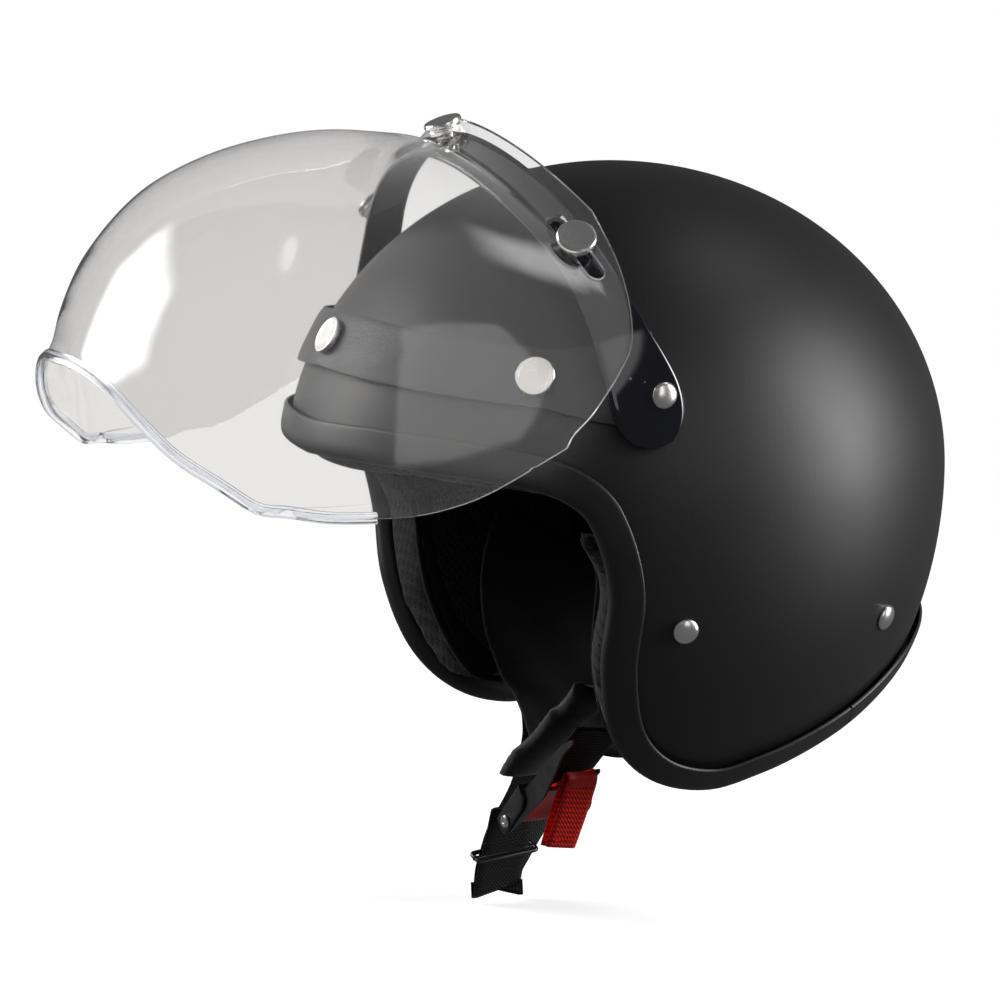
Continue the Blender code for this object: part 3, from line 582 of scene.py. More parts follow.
def foam_look():
    """Moulded bead foam."""
    look = Look("eps_foam", (0.03, 0.03, 0.03), 0.75)
    cells = look.cells(240.0)
    look.tint(cells, (0.045, 0.045, 0.045), (0.012, 0.012, 0.012))
    look.bump(cells, -0.0004)
    return look.mat


def cloth_look(name, colour, pitch, sheen, rough=0.85, depth=0.00012, kind="UV"):
    """Plain woven or knitted cloth: crossed rows of threads with slubs."""
    look = Look(name, colour, rough)
    u, v, _ = look.axes(kind)
    across = look.math("SINE", look.math("MULTIPLY", u, 2 * math.pi / pitch))
    along = look.math("SINE", look.math("MULTIPLY", v, 2 * math.pi / pitch))
    weave = look.math("MULTIPLY_ADD", look.math("MULTIPLY", across, along), 0.5, 0.5)
    patch = look.noise(55.0, 4.0)
    look.tint(look.math("MULTIPLY_ADD", weave, 0.6, look.math("MULTIPLY", patch, 0.4)),
              scaled(colour, 0.55), scaled(colour, 1.6))
    look.bump(weave, depth)
    look.bump(look.noise(900.0, 3.0), 0.0001)
    look.set(Sheen_Weight=sheen, Sheen_Roughness=0.4, Specular_IOR_Level=0.25)
    return look.mat


def mesh_look():
    """Air-mesh knit: rows of staggered diamond holes between raised threads, the holes painted near black as painted
    shade.
    """
    look = Look("pad_mesh", (0.02, 0.02, 0.021), 0.7)
    u, v, _ = look.axes()
    across = look.math("COSINE", look.math("MULTIPLY", u, 2 * math.pi / 0.0042))
    along = look.math("COSINE", look.math("MULTIPLY", v, 2 * math.pi / 0.0054))
    lattice = look.math("MULTIPLY", across, along)
    thread = look.band(0.30, 0.02, lattice)
    fine = look.math("SINE", look.math("MULTIPLY", look.math("ADD", u, v), 2 * math.pi / 0.0009))
    # Holes near black and threads grey: painted shade in the holes.
    look.tint(look.math("MULTIPLY", thread, look.math("MULTIPLY_ADD", fine, 0.2, 0.8)),
              (0.0015, 0.0015, 0.0015), (0.034, 0.034, 0.036))
    look.bump(thread, 0.0008)
    look.bump(fine, 0.00008)
    look.set(Sheen_Weight=0.25, Sheen_Roughness=0.35, Specular_IOR_Level=0.35)
    return look.mat


def vinyl_look():
    look = Look("strap_vinyl", (0.03, 0.03, 0.033), 0.5)
    grain = look.cells(900.0)
    look.tint(look.noise(35.0, 4.0), (0.022, 0.022, 0.0245), (0.040, 0.040, 0.044))
    look.shine(look.noise(140.0, 4.0), 0.4, 0.58)
    look.bump(grain, 0.00009)
    return look.mat


def nickel_look(name="nickel", low=0.23, high=0.3, colour=(0.88, 0.865, 0.84)):
    look = Look(name, colour, 0.24, 1.0)
    look.shine(look.noise(240.0, 4.0), low, high)
    look.tint(look.noise(160.0, 4.0), scaled(colour, 0.94), colour)
    look.bump(look.noise(900.0, 3.0), 0.0000006)
    return look.mat


def lacquer_look():
    """Glossy moulded strip with a little dust on it."""
    look = Look("gloss_black", (0.004, 0.0045, 0.008), 0.07)
    specks = look.band(0.17, 0.1, look.cells(260.0))
    sparse = look.band(0.55, 0.68, look.noise(70.0, 4.0))
    dust = look.math("MULTIPLY", specks, sparse)
    look.tint(dust, (0.0035, 0.004, 0.0075), (0.16, 0.16, 0.17))
    look.shine(look.math("MAXIMUM", dust, look.math("MULTIPLY", look.noise(35.0, 5.0), 0.22)), 0.04, 0.5)
    look.bump(look.noise(28.0, 2.0), 0.00025)
    look.set(Coat_Weight=0.4, Coat_Roughness=0.03)
    return look.mat


def clear_look(name, tint, rough, haze):
    """Clear plastic that lets light straight through to what is behind when casting shadow."""
    look = Look(name, tint, rough)
    look.set(Transmission_Weight=1.0, IOR=1.49, Specular_IOR_Level=0.5)
    smear = look.noise(14.0, 5.0)
    look.shine(smear, rough, rough + 0.03)
    # A white diffuse veil is mixed in by the haze share. On the visor and the bead it is real haze; on the cut edges
    # its large share is painted edge glow.
    veil = look.node("ShaderNodeBsdfDiffuse", Color=(0.75, 0.75, 0.76, 1))
    haze_and_glow_mix = look.node("ShaderNodeMixShader")
    look.put(look.band(0.35, 0.8, look.noise(5.0, 6.0), haze * 0.6, haze * 1.6), haze_and_glow_mix.inputs[0])
    look.links.new(look.bsdf.outputs[0], haze_and_glow_mix.inputs[1])
    look.links.new(veil.outputs[0], haze_and_glow_mix.inputs[2])
    through = look.node("ShaderNodeBsdfTransparent", Color=(*tint, 1))
    shadow = look.node("ShaderNodeMixShader")
    path = look.node("ShaderNodeLightPath")
    look.links.new(path.outputs["Is Shadow Ray"], shadow.inputs[0])
    look.links.new(haze_and_glow_mix.outputs[0], shadow.inputs[1])
    look.links.new(through.outputs[0], shadow.inputs[2])
    look.links.new(shadow.outputs[0], look.nodes["Material Output"].inputs["Surface"])
    return look.mat


def webbing_look(name, colour, rib, spec=0.3):
    """Woven strap: ribs across it crossed by slanted yarns, with painted shade darkening the grooves between."""
    look = Look(name, colour, 0.6)
    u, v, _ = look.axes()
    ribs = look.math("SINE", look.math("MULTIPLY", v, 2 * math.pi / rib))
    skew = look.math("SINE", look.math("MULTIPLY", look.math("MULTIPLY_ADD", v, 0.8, u), 2 * math.pi / 0.0014))
    weave = look.math("MULTIPLY_ADD", look.math("ADD", ribs, look.math("MULTIPLY", skew, 0.7)), 0.29, 0.5)
    fuzz = look.noise(1200.0, 3.0)
    # Low parts of the weave are painted darker than the high parts: painted shade in the grooves.
    look.tint(look.math("MULTIPLY_ADD", fuzz, 0.3, look.math("MULTIPLY", weave, 0.8)),
              scaled(colour, 0.35), scaled(colour, 1.5))
    look.bump(weave, 0.00028)
    look.bump(fuzz, 0.00008)
    look.set(Sheen_Weight=0.06, Specular_IOR_Level=spec)
    return look.mat


def steel_look():
    look = Look("dark_steel", (0.06, 0.06, 0.065), 0.33, 0.9)
    look.shine(look.noise(150.0, 5.0), 0.22, 0.5)
    look.tint(look.noise(70.0, 5.0), (0.03, 0.03, 0.033), (0.1, 0.1, 0.105))
    look.bump(look.noise(700.0, 3.0), 0.00003)
    return look.mat


def red_look():
    look = Look("red_plastic", (0.8, 0.02, 0.012), 0.3)
    look.tint(look.noise(80.0, 3.0), (0.72, 0.014, 0.009), (0.9, 0.024, 0.013))
    look.shine(look.noise(200.0, 4.0), 0.22, 0.42)
    look.bump(look.noise(500.0, 2.0), 0.00004)
    return look.mat


LOOKS = {
    "matte_black": paint_look(),
    "trim_rubber": rubber_look(),
    "eps_foam": foam_look(),
    "liner_fabric": cloth_look("liner_fabric", (0.009, 0.009, 0.0095), 0.0012, 0.25, 0.9, kind="Object"),
    "pad_mesh": mesh_look(),
    "pad_fabric": cloth_look("pad_fabric", (0.006, 0.006, 0.0068), 0.0011, 0.12, 0.85),
    "strap_vinyl": vinyl_look(),
    "nickel": nickel_look(),
    "zinc_steel": nickel_look("zinc_steel", 0.3, 0.5, (0.55, 0.56, 0.58)),
    "gloss_black": lacquer_look(),
    "smoke_clear": clear_look("smoke_clear", (0.84, 0.832, 0.825), 0.012, 0.004),
    "clear_bead": clear_look("clear_bead", (0.95, 0.96, 0.98), 0.03, 0.03),
    "webbing": webbing_look("webbing", (0.006, 0.006, 0.0065), 0.0016, 0.2),
    "sleeve_fabric": cloth_look("sleeve_fabric", (0.014, 0.0145, 0.0165), 0.0009, 0.4, 0.45),
    "dark_steel": steel_look(),
    "red_plastic": red_look(),
    "red_webbing": webbing_look("red_webbing", (0.85, 0.022, 0.012), 0.0023, 0.3),
}
# Cut edges of the clear sheet: the heavy white veil on them is painted edge glow, standing in for light carried out
# through the sheet's edge.
EDGE_GLOW_LOOK = clear_look("cut_edge_glow", (0.9, 0.93, 0.98), 0.08, 0.3)


# ------------------------------------------------------------------ shell and trim

def outer_shell():
    bm = dome_solid(rim_units(RIM, 288), 72, 0.0, -SHELL_THICK, 24)
    return finish_mesh("shell_paint", bm, LOOKS["matte_black"], BODY_HELMET, "outer_shell", sharp=50)


def edge_trim():
    """Rubber channel round the rim; its two ends meet at the nape, left of the middle."""
    clear = 1.5
    slot = -SHELL_THICK - clear
    outline = smooth_path([(clear + 0.2, -8.9), (2.4, -8.9), (2.9, -8.2), (3.1, -4), (3.0, 0.2), (2.2, 3.0),
                           (0.2, 4.4), (-2.6, 4.5), (-5.2, 3.2), (-6.7, 0.4), (-6.9, -4.4), (-6.3, -5.4),
                           (slot - 0.2, -5.2)], 44)
    profile = [tuple(p) for p in outline] + [(slot, -2.0), (slot, clear), (clear, clear), (clear, -4.0)]
    frames = rim_frames(320)
    seam = 118
    gap = 0.9
    along = (frames[seam + 1][0] - frames[seam][0]).normalized()
    joint = [(frames[seam][0] + along * step * gap, frames[seam][1], frames[seam][2]) for step in (0.2, 0.6, 1.0)]
    frames[seam + 1:seam + 1] = joint
    middle = Vector((-1.6, -1.5))

    def shape(r):
        if r != seam + 2:
            return profile
        return [tuple(middle + (Vector(p) - middle) * 0.86) for p in profile]

    bm = swept_solid(frames, profile, closed=True, profile_of=shape)
    return finish_mesh("rubber_edge", bm, LOOKS["trim_rubber"], BODY_HELMET, "edge_trim", sharp=60)


def eps_liner():
    bm = dome_solid(rim_units(LINER_RIM, 128), 28, -EPS_SKIN, -EPS_SKIN - EPS_THICK, 28)
    return finish_mesh("foam_cap", bm, LOOKS["eps_foam"], BODY_HELMET, "eps_liner", sharp=50)


def comfort_liner():
    """Lining quilted in soft panels."""
    top = EPS_SKIN + EPS_THICK + 1.0

    def swell(spot):
        panel = math.cos(spot.x * 9.0) ** 2 * math.cos(spot.y * 7.0) ** 2
        return 3.0 * panel ** 0.35

    bm = dome_solid(rim_units(LINER_RIM, 192), 40, -top, -top - LINER_THICK + 2, 60, swell)
    finish_mesh("comfort_lining", bm, LOOKS["liner_fabric"], BODY_HELMET, "comfort_liner",
                sharp=60)


# ------------------------------------------------------------------ soft padding

def pillow(name, bm, cap, body, stands_for, look, frames=14):
    """Blow a closed bag up a little with cloth, keep each point within cap of where it began."""
    bmesh.ops.recalc_face_normals(bm, faces=bm.faces)
    mesh = bpy.data.meshes.new(name)
    bm.to_mesh(mesh)
    bm.free()
    obj = bpy.data.objects.new(name, mesh)
    bpy.context.scene.collection.objects.link(obj)
    mesh.transform(Matrix.Scale(MM, 4))
    remesh = obj.modifiers.new("remesh", "REMESH")
    remesh.mode = "VOXEL"
    remesh.voxel_size = 0.0042
    apply_modifiers(obj)
    mesh = obj.data
    start = [v.co.copy() for v in mesh.vertices]
    run_cloth(obj, frames)
    for vert, rest in zip(obj.data.vertices, start):
        step = vert.co - rest
        if step.length > cap * MM:
            vert.co = rest + step.normalized() * cap * MM
    smooth = obj.modifiers.new("smooth", "SMOOTH")
    smooth.factor = 0.5
    smooth.iterations = 4
    sub = obj.modifiers.new("subdivision", "SUBSURF")
    sub.levels = 1
    sub.render_levels = 1
    apply_modifiers(obj)
    obj.data.materials.clear()
    obj.data.materials.append(look)
    obj.data.shade_smooth()
    wrap_uv(obj.data)
    obj.data.transform(Matrix.Translation(CENTRE))
    ride_on(obj, body, stands_for)
    return obj


def apply_modifiers(obj):
    bpy.context.view_layer.update()
    graph = bpy.context.evaluated_depsgraph_get()
    mesh = bpy.data.meshes.new_from_object(obj.evaluated_get(graph), depsgraph=graph)
    old = obj.data
    obj.modifiers.clear()
    obj.data = mesh
    bpy.data.meshes.remove(old)


def run_cloth(obj, frames):
    cloth = obj.modifiers.new("cloth", "CLOTH")
    settings = cloth.settings
    settings.quality = 5
    settings.mass = 0.3
    settings.tension_stiffness = 12
    settings.compression_stiffness = 12
    settings.shear_stiffness = 8
    settings.bending_stiffness = 1.2
    settings.use_pressure = True
    settings.uniform_pressure_force = 4.0
    settings.effector_weights.gravity = 0.0
    cloth.collision_settings.use_collision = False
    cloth.point_cache.frame_start = 1
    cloth.point_cache.frame_end = frames
    scene = bpy.context.scene
    scene.frame_start = 1
    scene.frame_end = frames
    for frame_number in range(1, frames + 1):
        scene.frame_set(frame_number)
    apply_modifiers(obj)
    scene.frame_set(1)


def wrap_uv(mesh):
    """UVs in metres: round the shell and towards its middle across, height along."""
    uv = mesh.uv_layers.new(name="UVMap")
    for loop in mesh.loops:
        co = mesh.vertices[loop.vertex_index].co / MM
        depth = SHELL_BACK if co.y > 0 else SHELL_FRONT
        high = SHELL_UP if co.z > 0 else SHELL_DOWN
        swell = math.sqrt((co.x / SHELL_WIDE) ** 2 + (co.y / depth) ** 2 + (co.z / high) ** 2)
        around = math.atan2(co.x, -co.y) * 100.0
        uv.data[loop.index].uv = ((around - math.copysign(swell * 125.0, co.x)) * MM, (co.z + swell * 125.0) * MM)


def pad_bag(low, high, azimuth_from, azimuth_to, skin, thick, columns, rows):
    outer = []
    inner = []
    for i in range(columns + 1):
        s = i / columns
        azimuth = lerp(azimuth_from, azimuth_to, s)
        outer_row = []
        inner_row = []
        for j in range(rows + 1):
            t = j / rows
            z = lerp(low(azimuth), high(azimuth), t)
            crown = (1 - abs(2 * s - 1) ** 6) * (1 - abs(2 * t - 1) ** 4)
            outer_row.append(egg_point(azimuth, z, -skin))
            inner_row.append(egg_point(azimuth, z, -skin - thick * (0.72 + 0.28 * crown)))
        outer.append(outer_row)
        inner.append(inner_row)
    return sheet_solid(outer, inner)


def brow_pad():
    bm = pad_bag(lambda a: smooth_table(((0, 9.0), (30, 9.5), (46, 7.5), (53, 4.5)), abs(a)),
                 lambda a: smooth_table(((0, 27.5), (30, 27), (46, 25), (53, 22)), abs(a)),
                 -54, 54, 6.6, 14.0, 60, 8)
    pillow("brow_cushion", bm, 2.0, BODY_HELMET, "brow_pad", LOOKS["pad_mesh"])


CHEEK_SKIN = 8.8
CHEEK_THICK = 19.0
CHEEK_FRONT = ((8, 57), (28, 61), (58, 59.6), (84, 61.5), (100, 66))
CHEEK_HIGH = ((52, -8), (70, -10), (90, -13), (114, -20))
CHEEK_LOW = ((52, -100), (66, -102.5), (75, -105), (90, -106), (104, -101), (114, -94))
CHEEK_REAR = 112.0


def cheek_spot(side, s, t, depth):
    """Point of the cheek pad: s from its front edge to its rear, t from top to bottom, depth inwards."""
    start = smooth_table(CHEEK_FRONT, lerp(CHEEK_FRONT[0][0], CHEEK_FRONT[-1][0], t))
    azimuth = lerp(start, CHEEK_REAR, s)
    z = lerp(smooth_table(CHEEK_HIGH, azimuth), smooth_table(CHEEK_LOW, azimuth), t)
    point = egg_point(azimuth * side, z, -CHEEK_SKIN)
    inward = egg_normal(point)
    inward.z = 0.0
    return point - inward.normalized() * depth


def cheek_crown(s, t):
    """Share of the pad's full swell, level over its middle and falling at its edges."""
    return (1 - abs(2 * s - 1) ** 6) * (1 - abs(2 * t - 1) ** 6)


def cheek_pads():
    for side, word in ((1, "left"), (-1, "right")):
        grids = ([], [])
        for j in range(25):
            for grid, thick in zip(grids, (0.0, CHEEK_THICK)):
                grid.append([cheek_spot(side, i / 24, j / 24, thick * (0.84 + 0.16 * cheek_crown(i / 24, j / 24)))
                             for i in range(25)])
        pillow("cheek_cushion_" + word, sheet_solid(*grids), 2.2, BODY_HELMET, "cheek_pad_" + word,
               LOOKS["pad_mesh"])
        seam = CHEEK_THICK * 0.84 + 0.4
        piping = [cheek_spot(side, 0.02, t, seam) for t in (0.04, 0.2, 0.4, 0.6, 0.8, 0.94)]
        piping += [cheek_spot(side, s, 0.985, seam) for s in (0.12, 0.4, 0.7, 0.92)]
        bm = tube(smooth_path(piping, 90), 1.4, sides=10)
        finish_mesh("cheek_piping_" + word, bm, LOOKS["pad_fabric"], BODY_HELMET, sharp=0)
        finish_mesh("cheek_cloth_" + word, side_panel(side), LOOKS["pad_fabric"], BODY_HELMET,
                    sharp=0)


def side_panel(side):
    """Smooth cloth panel on the pad's inner face, inside its piping."""
    outer = []
    inner = []
    for j in range(33):
        t = lerp(0.05, 0.95, j / 32)
        outer_row = []
        inner_row = []
        for i in range(33):
            s = lerp(0.04, 0.96, i / 32)
            crown = cheek_crown(s, t)
            pucker = 0.4 * math.sin(i * 2.4) * math.sin(j * 1.9) * (1 - crown)
            depth = CHEEK_THICK * (0.84 + 0.16 * crown)
            outer_row.append(cheek_spot(side, s, t, depth - 1.0))
            inner_row.append(cheek_spot(side, s, t, depth + 1.7 + pucker))
        outer.append(outer_row)
        inner.append(inner_row)
    return sheet_solid(outer, inner)


def neck_roll():
    bm = pad_bag(lambda a: smooth_table(((0, -56), (30, -60), (62, -84)), abs(a - 180)),
                 lambda a: smooth_table(((0, -29), (62, -27)), abs(a - 180)),
                 118, 242, 7.4, 18.6, 64, 14)
    pillow("neck_cushion", bm, 2.4, BODY_HELMET, "neck_roll", LOOKS["pad_fabric"])
    for z_of in ((lambda a: smooth_table(((0, -52), (30, -56), (62, -80)), abs(a - 180))),
                 (lambda a: smooth_table(((0, -34), (62, -32)), abs(a - 180)))):
        path = [egg_point(a, z_of(a), -25.4) for a in range(122, 239, 4)]
        word = "low" if path[0].z < -60 else "high"
        finish_mesh("neck_piping_" + word, tube(smooth_path(path, 120), 1.3, sides=8),
                    LOOKS["pad_fabric"], BODY_HELMET, sharp=0)


# ------------------------------------------------------------------ band and fixed metal

def band_height(azimuth):
    return lerp(55.5, 45.6, min(abs(azimuth) / 70.0, 1.0) ** 1.2)


def band_lift(azimuth):
    return lerp(3.0, 0.9, min(abs(azimuth) / 55.0, 1.0))


def base_strap():
    """Vinyl brow band with pressed stitch-free edges."""
    outer = []
    inner = []
    reach = 73.0
    columns = 220
    for i in range(columns + 1):
        azimuth = lerp(-reach, reach, i / columns)
        widen = max(abs(azimuth) - 52.0, 0.0) / (reach - 52.0)
        half = 10.0 + 3.5 * math.sin(math.pi * min(widen, 0.75) / 1.5)
        half *= math.sqrt(max(1 - max(widen - 0.62, 0.0) ** 2 / 0.147, 0.012))
        outer_row = []
        inner_row = []
        for k in range(17):
            t = -1 + k / 8
            z = band_height(azimuth) + half * t
            round_off = 0.35 * abs(t) ** 10
            outer_row.append(egg_point(azimuth, z, band_lift(azimuth) + BAND_THICK - round_off))
            inner_row.append(egg_point(azimuth, z, band_lift(azimuth) + round_off))
        outer.append(outer_row)
        inner.append(inner_row)
    finish_mesh("brow_band", sheet_solid(outer, inner), LOOKS["strap_vinyl"], BODY_HELMET, "base_strap",
                sharp=50)


def cap_profile(radius, height):
    """Flat face with a rolled rim and a shallow dish just inside it."""
    return ((0, 0), (radius - 1.4, 0), (radius - 0.5, 0.15), (radius - 0.1, 0.6), (radius, height * 0.5),
            (radius - 0.1, height - 0.55), (radius - 0.45, height - 0.12), (radius - 0.95, height),
            (radius - 1.4, height - 0.1), (radius - 1.7, height - 0.3), (radius - 2.1, height - 0.34),
            (radius * 0.4, height - 0.3), (0, height - 0.28))


def brow_snaps():
    for name, azimuth in (("right", -50.0), ("center", 0.0), ("left", 50.0)):
        point = egg_point(azimuth, band_height(azimuth), 0.0)
        axis = egg_normal(point)
        lift = band_lift(azimuth)
        foot = ((0, 0), (4.1, 0), (4.5, 0.2), (4.5, lift - 1.3), (4.0, lift - 1.1), (0, lift - 1.1))
        post = turned_solid(point + axis * 0.3, axis, foot, 48)
        finish_mesh("brow_socket_" + name, post, LOOKS["nickel"], BODY_HELMET, "brow_stud_" + name)
        cap = turned_solid(point + axis * (lift + BAND_THICK + 0.1), axis, cap_profile(SNAP_R, 2.65), 96)
        finish_mesh("brow_cap_" + name, cap, LOOKS["nickel"], BODY_HELMET, "brow_snap_cap_" + name,
                    sharp=28)


def dome_profile(radius, rise):
    profile = [(0, 0), (radius, 0), (radius + 0.05, 0.3)]
    for k in range(1, 12):
        angle = math.radians(90 * k / 12)
        profile.append((radius * math.cos(angle), 0.45 + (rise - 0.45) * math.sin(angle)))
    return profile + [(0, rise)]


def shell_rivets():
    for side, word in ((1, "left"), (-1, "right")):
        for place, azimuth, z in (("front", 77.5, -44.0), ("rear", 126.0, -50.0)):
            point = egg_point(azimuth * side, z, 0.0)
            axis = egg_normal(point)
            head = turned_solid(point + axis * 0.1, axis, dome_profile(RIVET_R, 2.5), 72)
            finish_mesh("rivet_" + place + "_" + word, head, LOOKS["nickel"], BODY_HELMET,
                        "shell_rivet_" + place + "_" + word, sharp=50)
            inside = point - axis * (SHELL_THICK + 2.5)
            along = Vector((0, 0, 1)).cross(axis).normalized()
            up = axis.cross(along)
            bm = bmesh.new()
            bmesh.ops.create_cube(bm, size=1.0)
            basis = Matrix((along * 14, up * 18, axis * 1.2)).transposed().to_4x4()
            bmesh.ops.transform(bm, matrix=Matrix.Translation(inside - axis * 0.6) @ basis, verts=bm.verts)
            finish_mesh("plate_" + place + "_" + word, bm, LOOKS["zinc_steel"], BODY_HELMET,
                        "anchor_plate_" + place + "_" + word, sharp=30, bevel=0.4)


# ------------------------------------------------------------------ flip arch and visor

def arch_point(u, off):
    """Point of the closed arch's plan curve, u from -1 (right) to 1 (left): (x, forward)."""
    angle = u * math.pi / 2
    side = math.copysign(abs(math.sin(angle)) ** (2 / ARCH_POWER), angle)
    ahead = abs(math.cos(angle)) ** (2 / ARCH_POWER)
    return Vector((side * (ARCH_WIDE + off), ahead * (ARCH_REACH + off)))


def arch_path(count):
    """Evenly spaced plan points of the arch's inside face, their outward normals and runs."""
    dense = [arch_point(lerp(-1, 1, k / 960), 0.0) for k in range(961)]
    dense = [Vector((-ARCH_WIDE, -ARCH_TAIL))] + dense + [Vector((ARCH_WIDE, -ARCH_TAIL))]
    total = sum((b - a).length for a, b in zip(dense, dense[1:]))
    points = even_points(dense, count)
    out = []
    for k, point in enumerate(points):
        along = (points[min(k + 1, count - 1)] - points[max(k - 1, 0)]).normalized()
        out.append((point, Vector((-along.y, along.x)), total * k / (count - 1)))
    return out, total


def on_arch(plan, across):
    """Lay a plan point (x, forward) of the closed arch, raised by across, about the pivots."""
    tilt = math.radians(ARCH_TILT)
    ahead = plan.y * math.cos(tilt) - across * math.sin(tilt)
    up = plan.y * math.sin(tilt) + across * math.cos(tilt)
    return Vector((plan.x, PIVOT_Y - ahead, PIVOT_Z + up))


def flip_arch():
    """Glossy bent strip with rolled edges, from pivot to pivot."""
    path, total = arch_path(361)
    outer = []
    inner = []
    for plan, normal, run in path:
        end = min(run, total - run)
        half = smooth_table(ARCH_HALF, end)
        middle = smooth_table(ARCH_MIDDLE, end)
        outer_row = []
        inner_row = []
        for k in range(25):
            t = -math.cos(math.pi * k / 24)
            fall = max(abs(t) - 0.86, 0.0) / 0.14
            crown = 0.25 * (1 - t * t) - 0.8 * fall ** 2
            outer_row.append(on_arch(plan + normal * (ARCH_THICK + crown), middle + half * t))
            inner_row.append(on_arch(plan + normal * 0.2 * fall, middle + half * t))
        outer.append(outer_row)
        inner.append(inner_row)
    bm = raise_up(sheet_solid(outer, inner))
    finish_mesh("arch_strip", bm, LOOKS["gloss_black"], BODY_VISOR, "flip_arch", sharp=60)


def visor_reach(share, v, off):
    """Reach of the visor at a height, at a share of its half width there."""
    power = smooth_table(VISOR_POWER, v)
    side = smooth_table(VISOR_SIDE, v)
    middle = smooth_table(VISOR_PROFILE, v) + off
    return side + (middle - side) * (1 - min(share, 1.0) ** power) ** (1 / power)


def visor_grid(off, columns, rows):
    """Points of the closed visor, grown by off: (x, forward, height), right to left, top to lip."""
    half = columns // 2
    lip = smooth_path(VISOR_LIP, half + 1)
    grid = []
    for j in range(rows + 1):
        t = j / rows
        row = []
        for i in range(half + 1):
            low = lip[i]
            top_share = math.sin(i / half * math.pi / 2) ** (2 / VISOR_POWER[-1][1])
            low_share = min(low.x / smooth_table(VISOR_HALF, low.y), 1.0) if i < half else 1.0
            v = lerp(VISOR_TOP, low.y, t)
            share = lerp(top_share, low_share, t * t * (3 - 2 * t)) * smooth_table(VISOR_COVER, v)
            x = share * (smooth_table(VISOR_HALF, v) + off)
            row.append(Vector((x, visor_reach(share, v, off), v)))
        mirror = [Vector((-p.x, p.y, p.z)) for p in reversed(row[1:])]
        grid.append(mirror + row)
    return grid


def visor_point(point):
    return Vector((point.x, PIVOT_Y - point.y, PIVOT_Z + point.z))


def arch_station(x):
    """Plan point and outward normal of the arch at a half width."""
    if x == 0:
        return Vector((0, ARCH_REACH)), Vector((0, 1))
    path = arch_path(1601)[0]
    nearest = min(path[40:-40], key=lambda item: abs(item[0].x - x))
    return nearest[0], nearest[1]


def snap_frame(x):
    """Foot on the arch, outward axis, direction along the arch and direction across it."""
    plan, normal = arch_station(x)
    foot = on_arch(plan + normal * ARCH_THICK, SNAP_DROP if x else 0.0)
    axis = (on_arch(plan + normal, 0.0) - on_arch(plan, 0.0)).normalized()
    across = (on_arch(plan, 1.0) - on_arch(plan, 0.0)).normalized()
    return foot, axis, axis.cross(across).normalized(), across


def slot_bar(foot, axis, along, across, length, width):
    """Bar with round ends that cuts a slot through the visor."""
    bm = bmesh.new()
    straight = (length - width) / 2
    rings = []
    for depth in (-6, 14):
        ring = []
        for end in (1, -1):
            for k in range(17):
                angle = math.radians(-90 + 180 * k / 16)
                u = end * (straight + math.cos(angle) * width / 2)
                v = end * math.sin(angle) * width / 2
                ring.append(bm.verts.new(foot + along * u + across * v + axis * depth))
        rings.append(ring)
    ring_faces(bm, rings[0], rings[1])
    bm.faces.new(rings[0])
    bm.faces.new(rings[1])
    bmesh.ops.remove_doubles(bm, verts=bm.verts, dist=0.001)
    for face in bm.faces:
        face.material_index = 1
    return raise_up(bm)


def bubble_visor():
    """Thin blown clear sheet with a hole at the middle snap and a slot at each side snap."""
    outer = [[visor_point(p) for p in row] for row in visor_grid(0.0, 200, 96)]
    inner = [[visor_point(p) for p in row] for row in visor_grid(-VISOR_THICK, 200, 96)]
    # The border and the slot walls take the cut-edge material with its painted edge glow.
    visor = finish_mesh("visor_bubble", raise_up(sheet_solid(outer, inner, rim_slot=1)),
                        [LOOKS["smoke_clear"], EDGE_GLOW_LOOK], BODY_VISOR, "bubble_visor", sharp=50)
    cutters = []
    for x, length in ((-SNAP_X, SLOT_LONG), (0.0, SLOT_WIDE), (SNAP_X, SLOT_LONG)):
        bar = finish_mesh("cutting_bar", slot_bar(*snap_frame(x), length, SLOT_WIDE),
                          [LOOKS["smoke_clear"], EDGE_GLOW_LOOK], BODY_VISOR, sharp=0)
        mod = visor.modifiers.new("slot", "BOOLEAN")
        mod.operation = "DIFFERENCE"
        mod.solver = "EXACT"
        mod.object = bar
        cutters.append(bar)
    apply_in_place(visor)
    for bar in cutters:
        bpy.data.objects.remove(bar)
    visor.data.set_sharp_from_angle(angle=math.radians(50))


def apply_in_place(obj):
    keep = obj.matrix_world.copy()
    apply_modifiers(obj)
    obj.matrix_world = keep


def bead_run(grid):
    """Edge points down the right side, along the lip and up the left, each with one inward of it."""
    low = [row for row in grid if row[0].z < BEAD_TOP]
    right = [(row[0], row[2]) for row in low[:-1]]
    lip = list(zip(grid[-1], grid[-2]))
    left = [(row[-1], row[-3]) for row in reversed(low[:-1])]
    return right + lip[1:-1] + left


def eased(vectors, passes):
    """Even out a run of vectors, its two ends kept."""
    for _ in range(passes):
        inside = [(a + b * 2 + c) / 4 for a, b, c in zip(vectors, vectors[1:], vectors[2:])]
        vectors = [vectors[0]] + inside + [vectors[-1]]
    return vectors


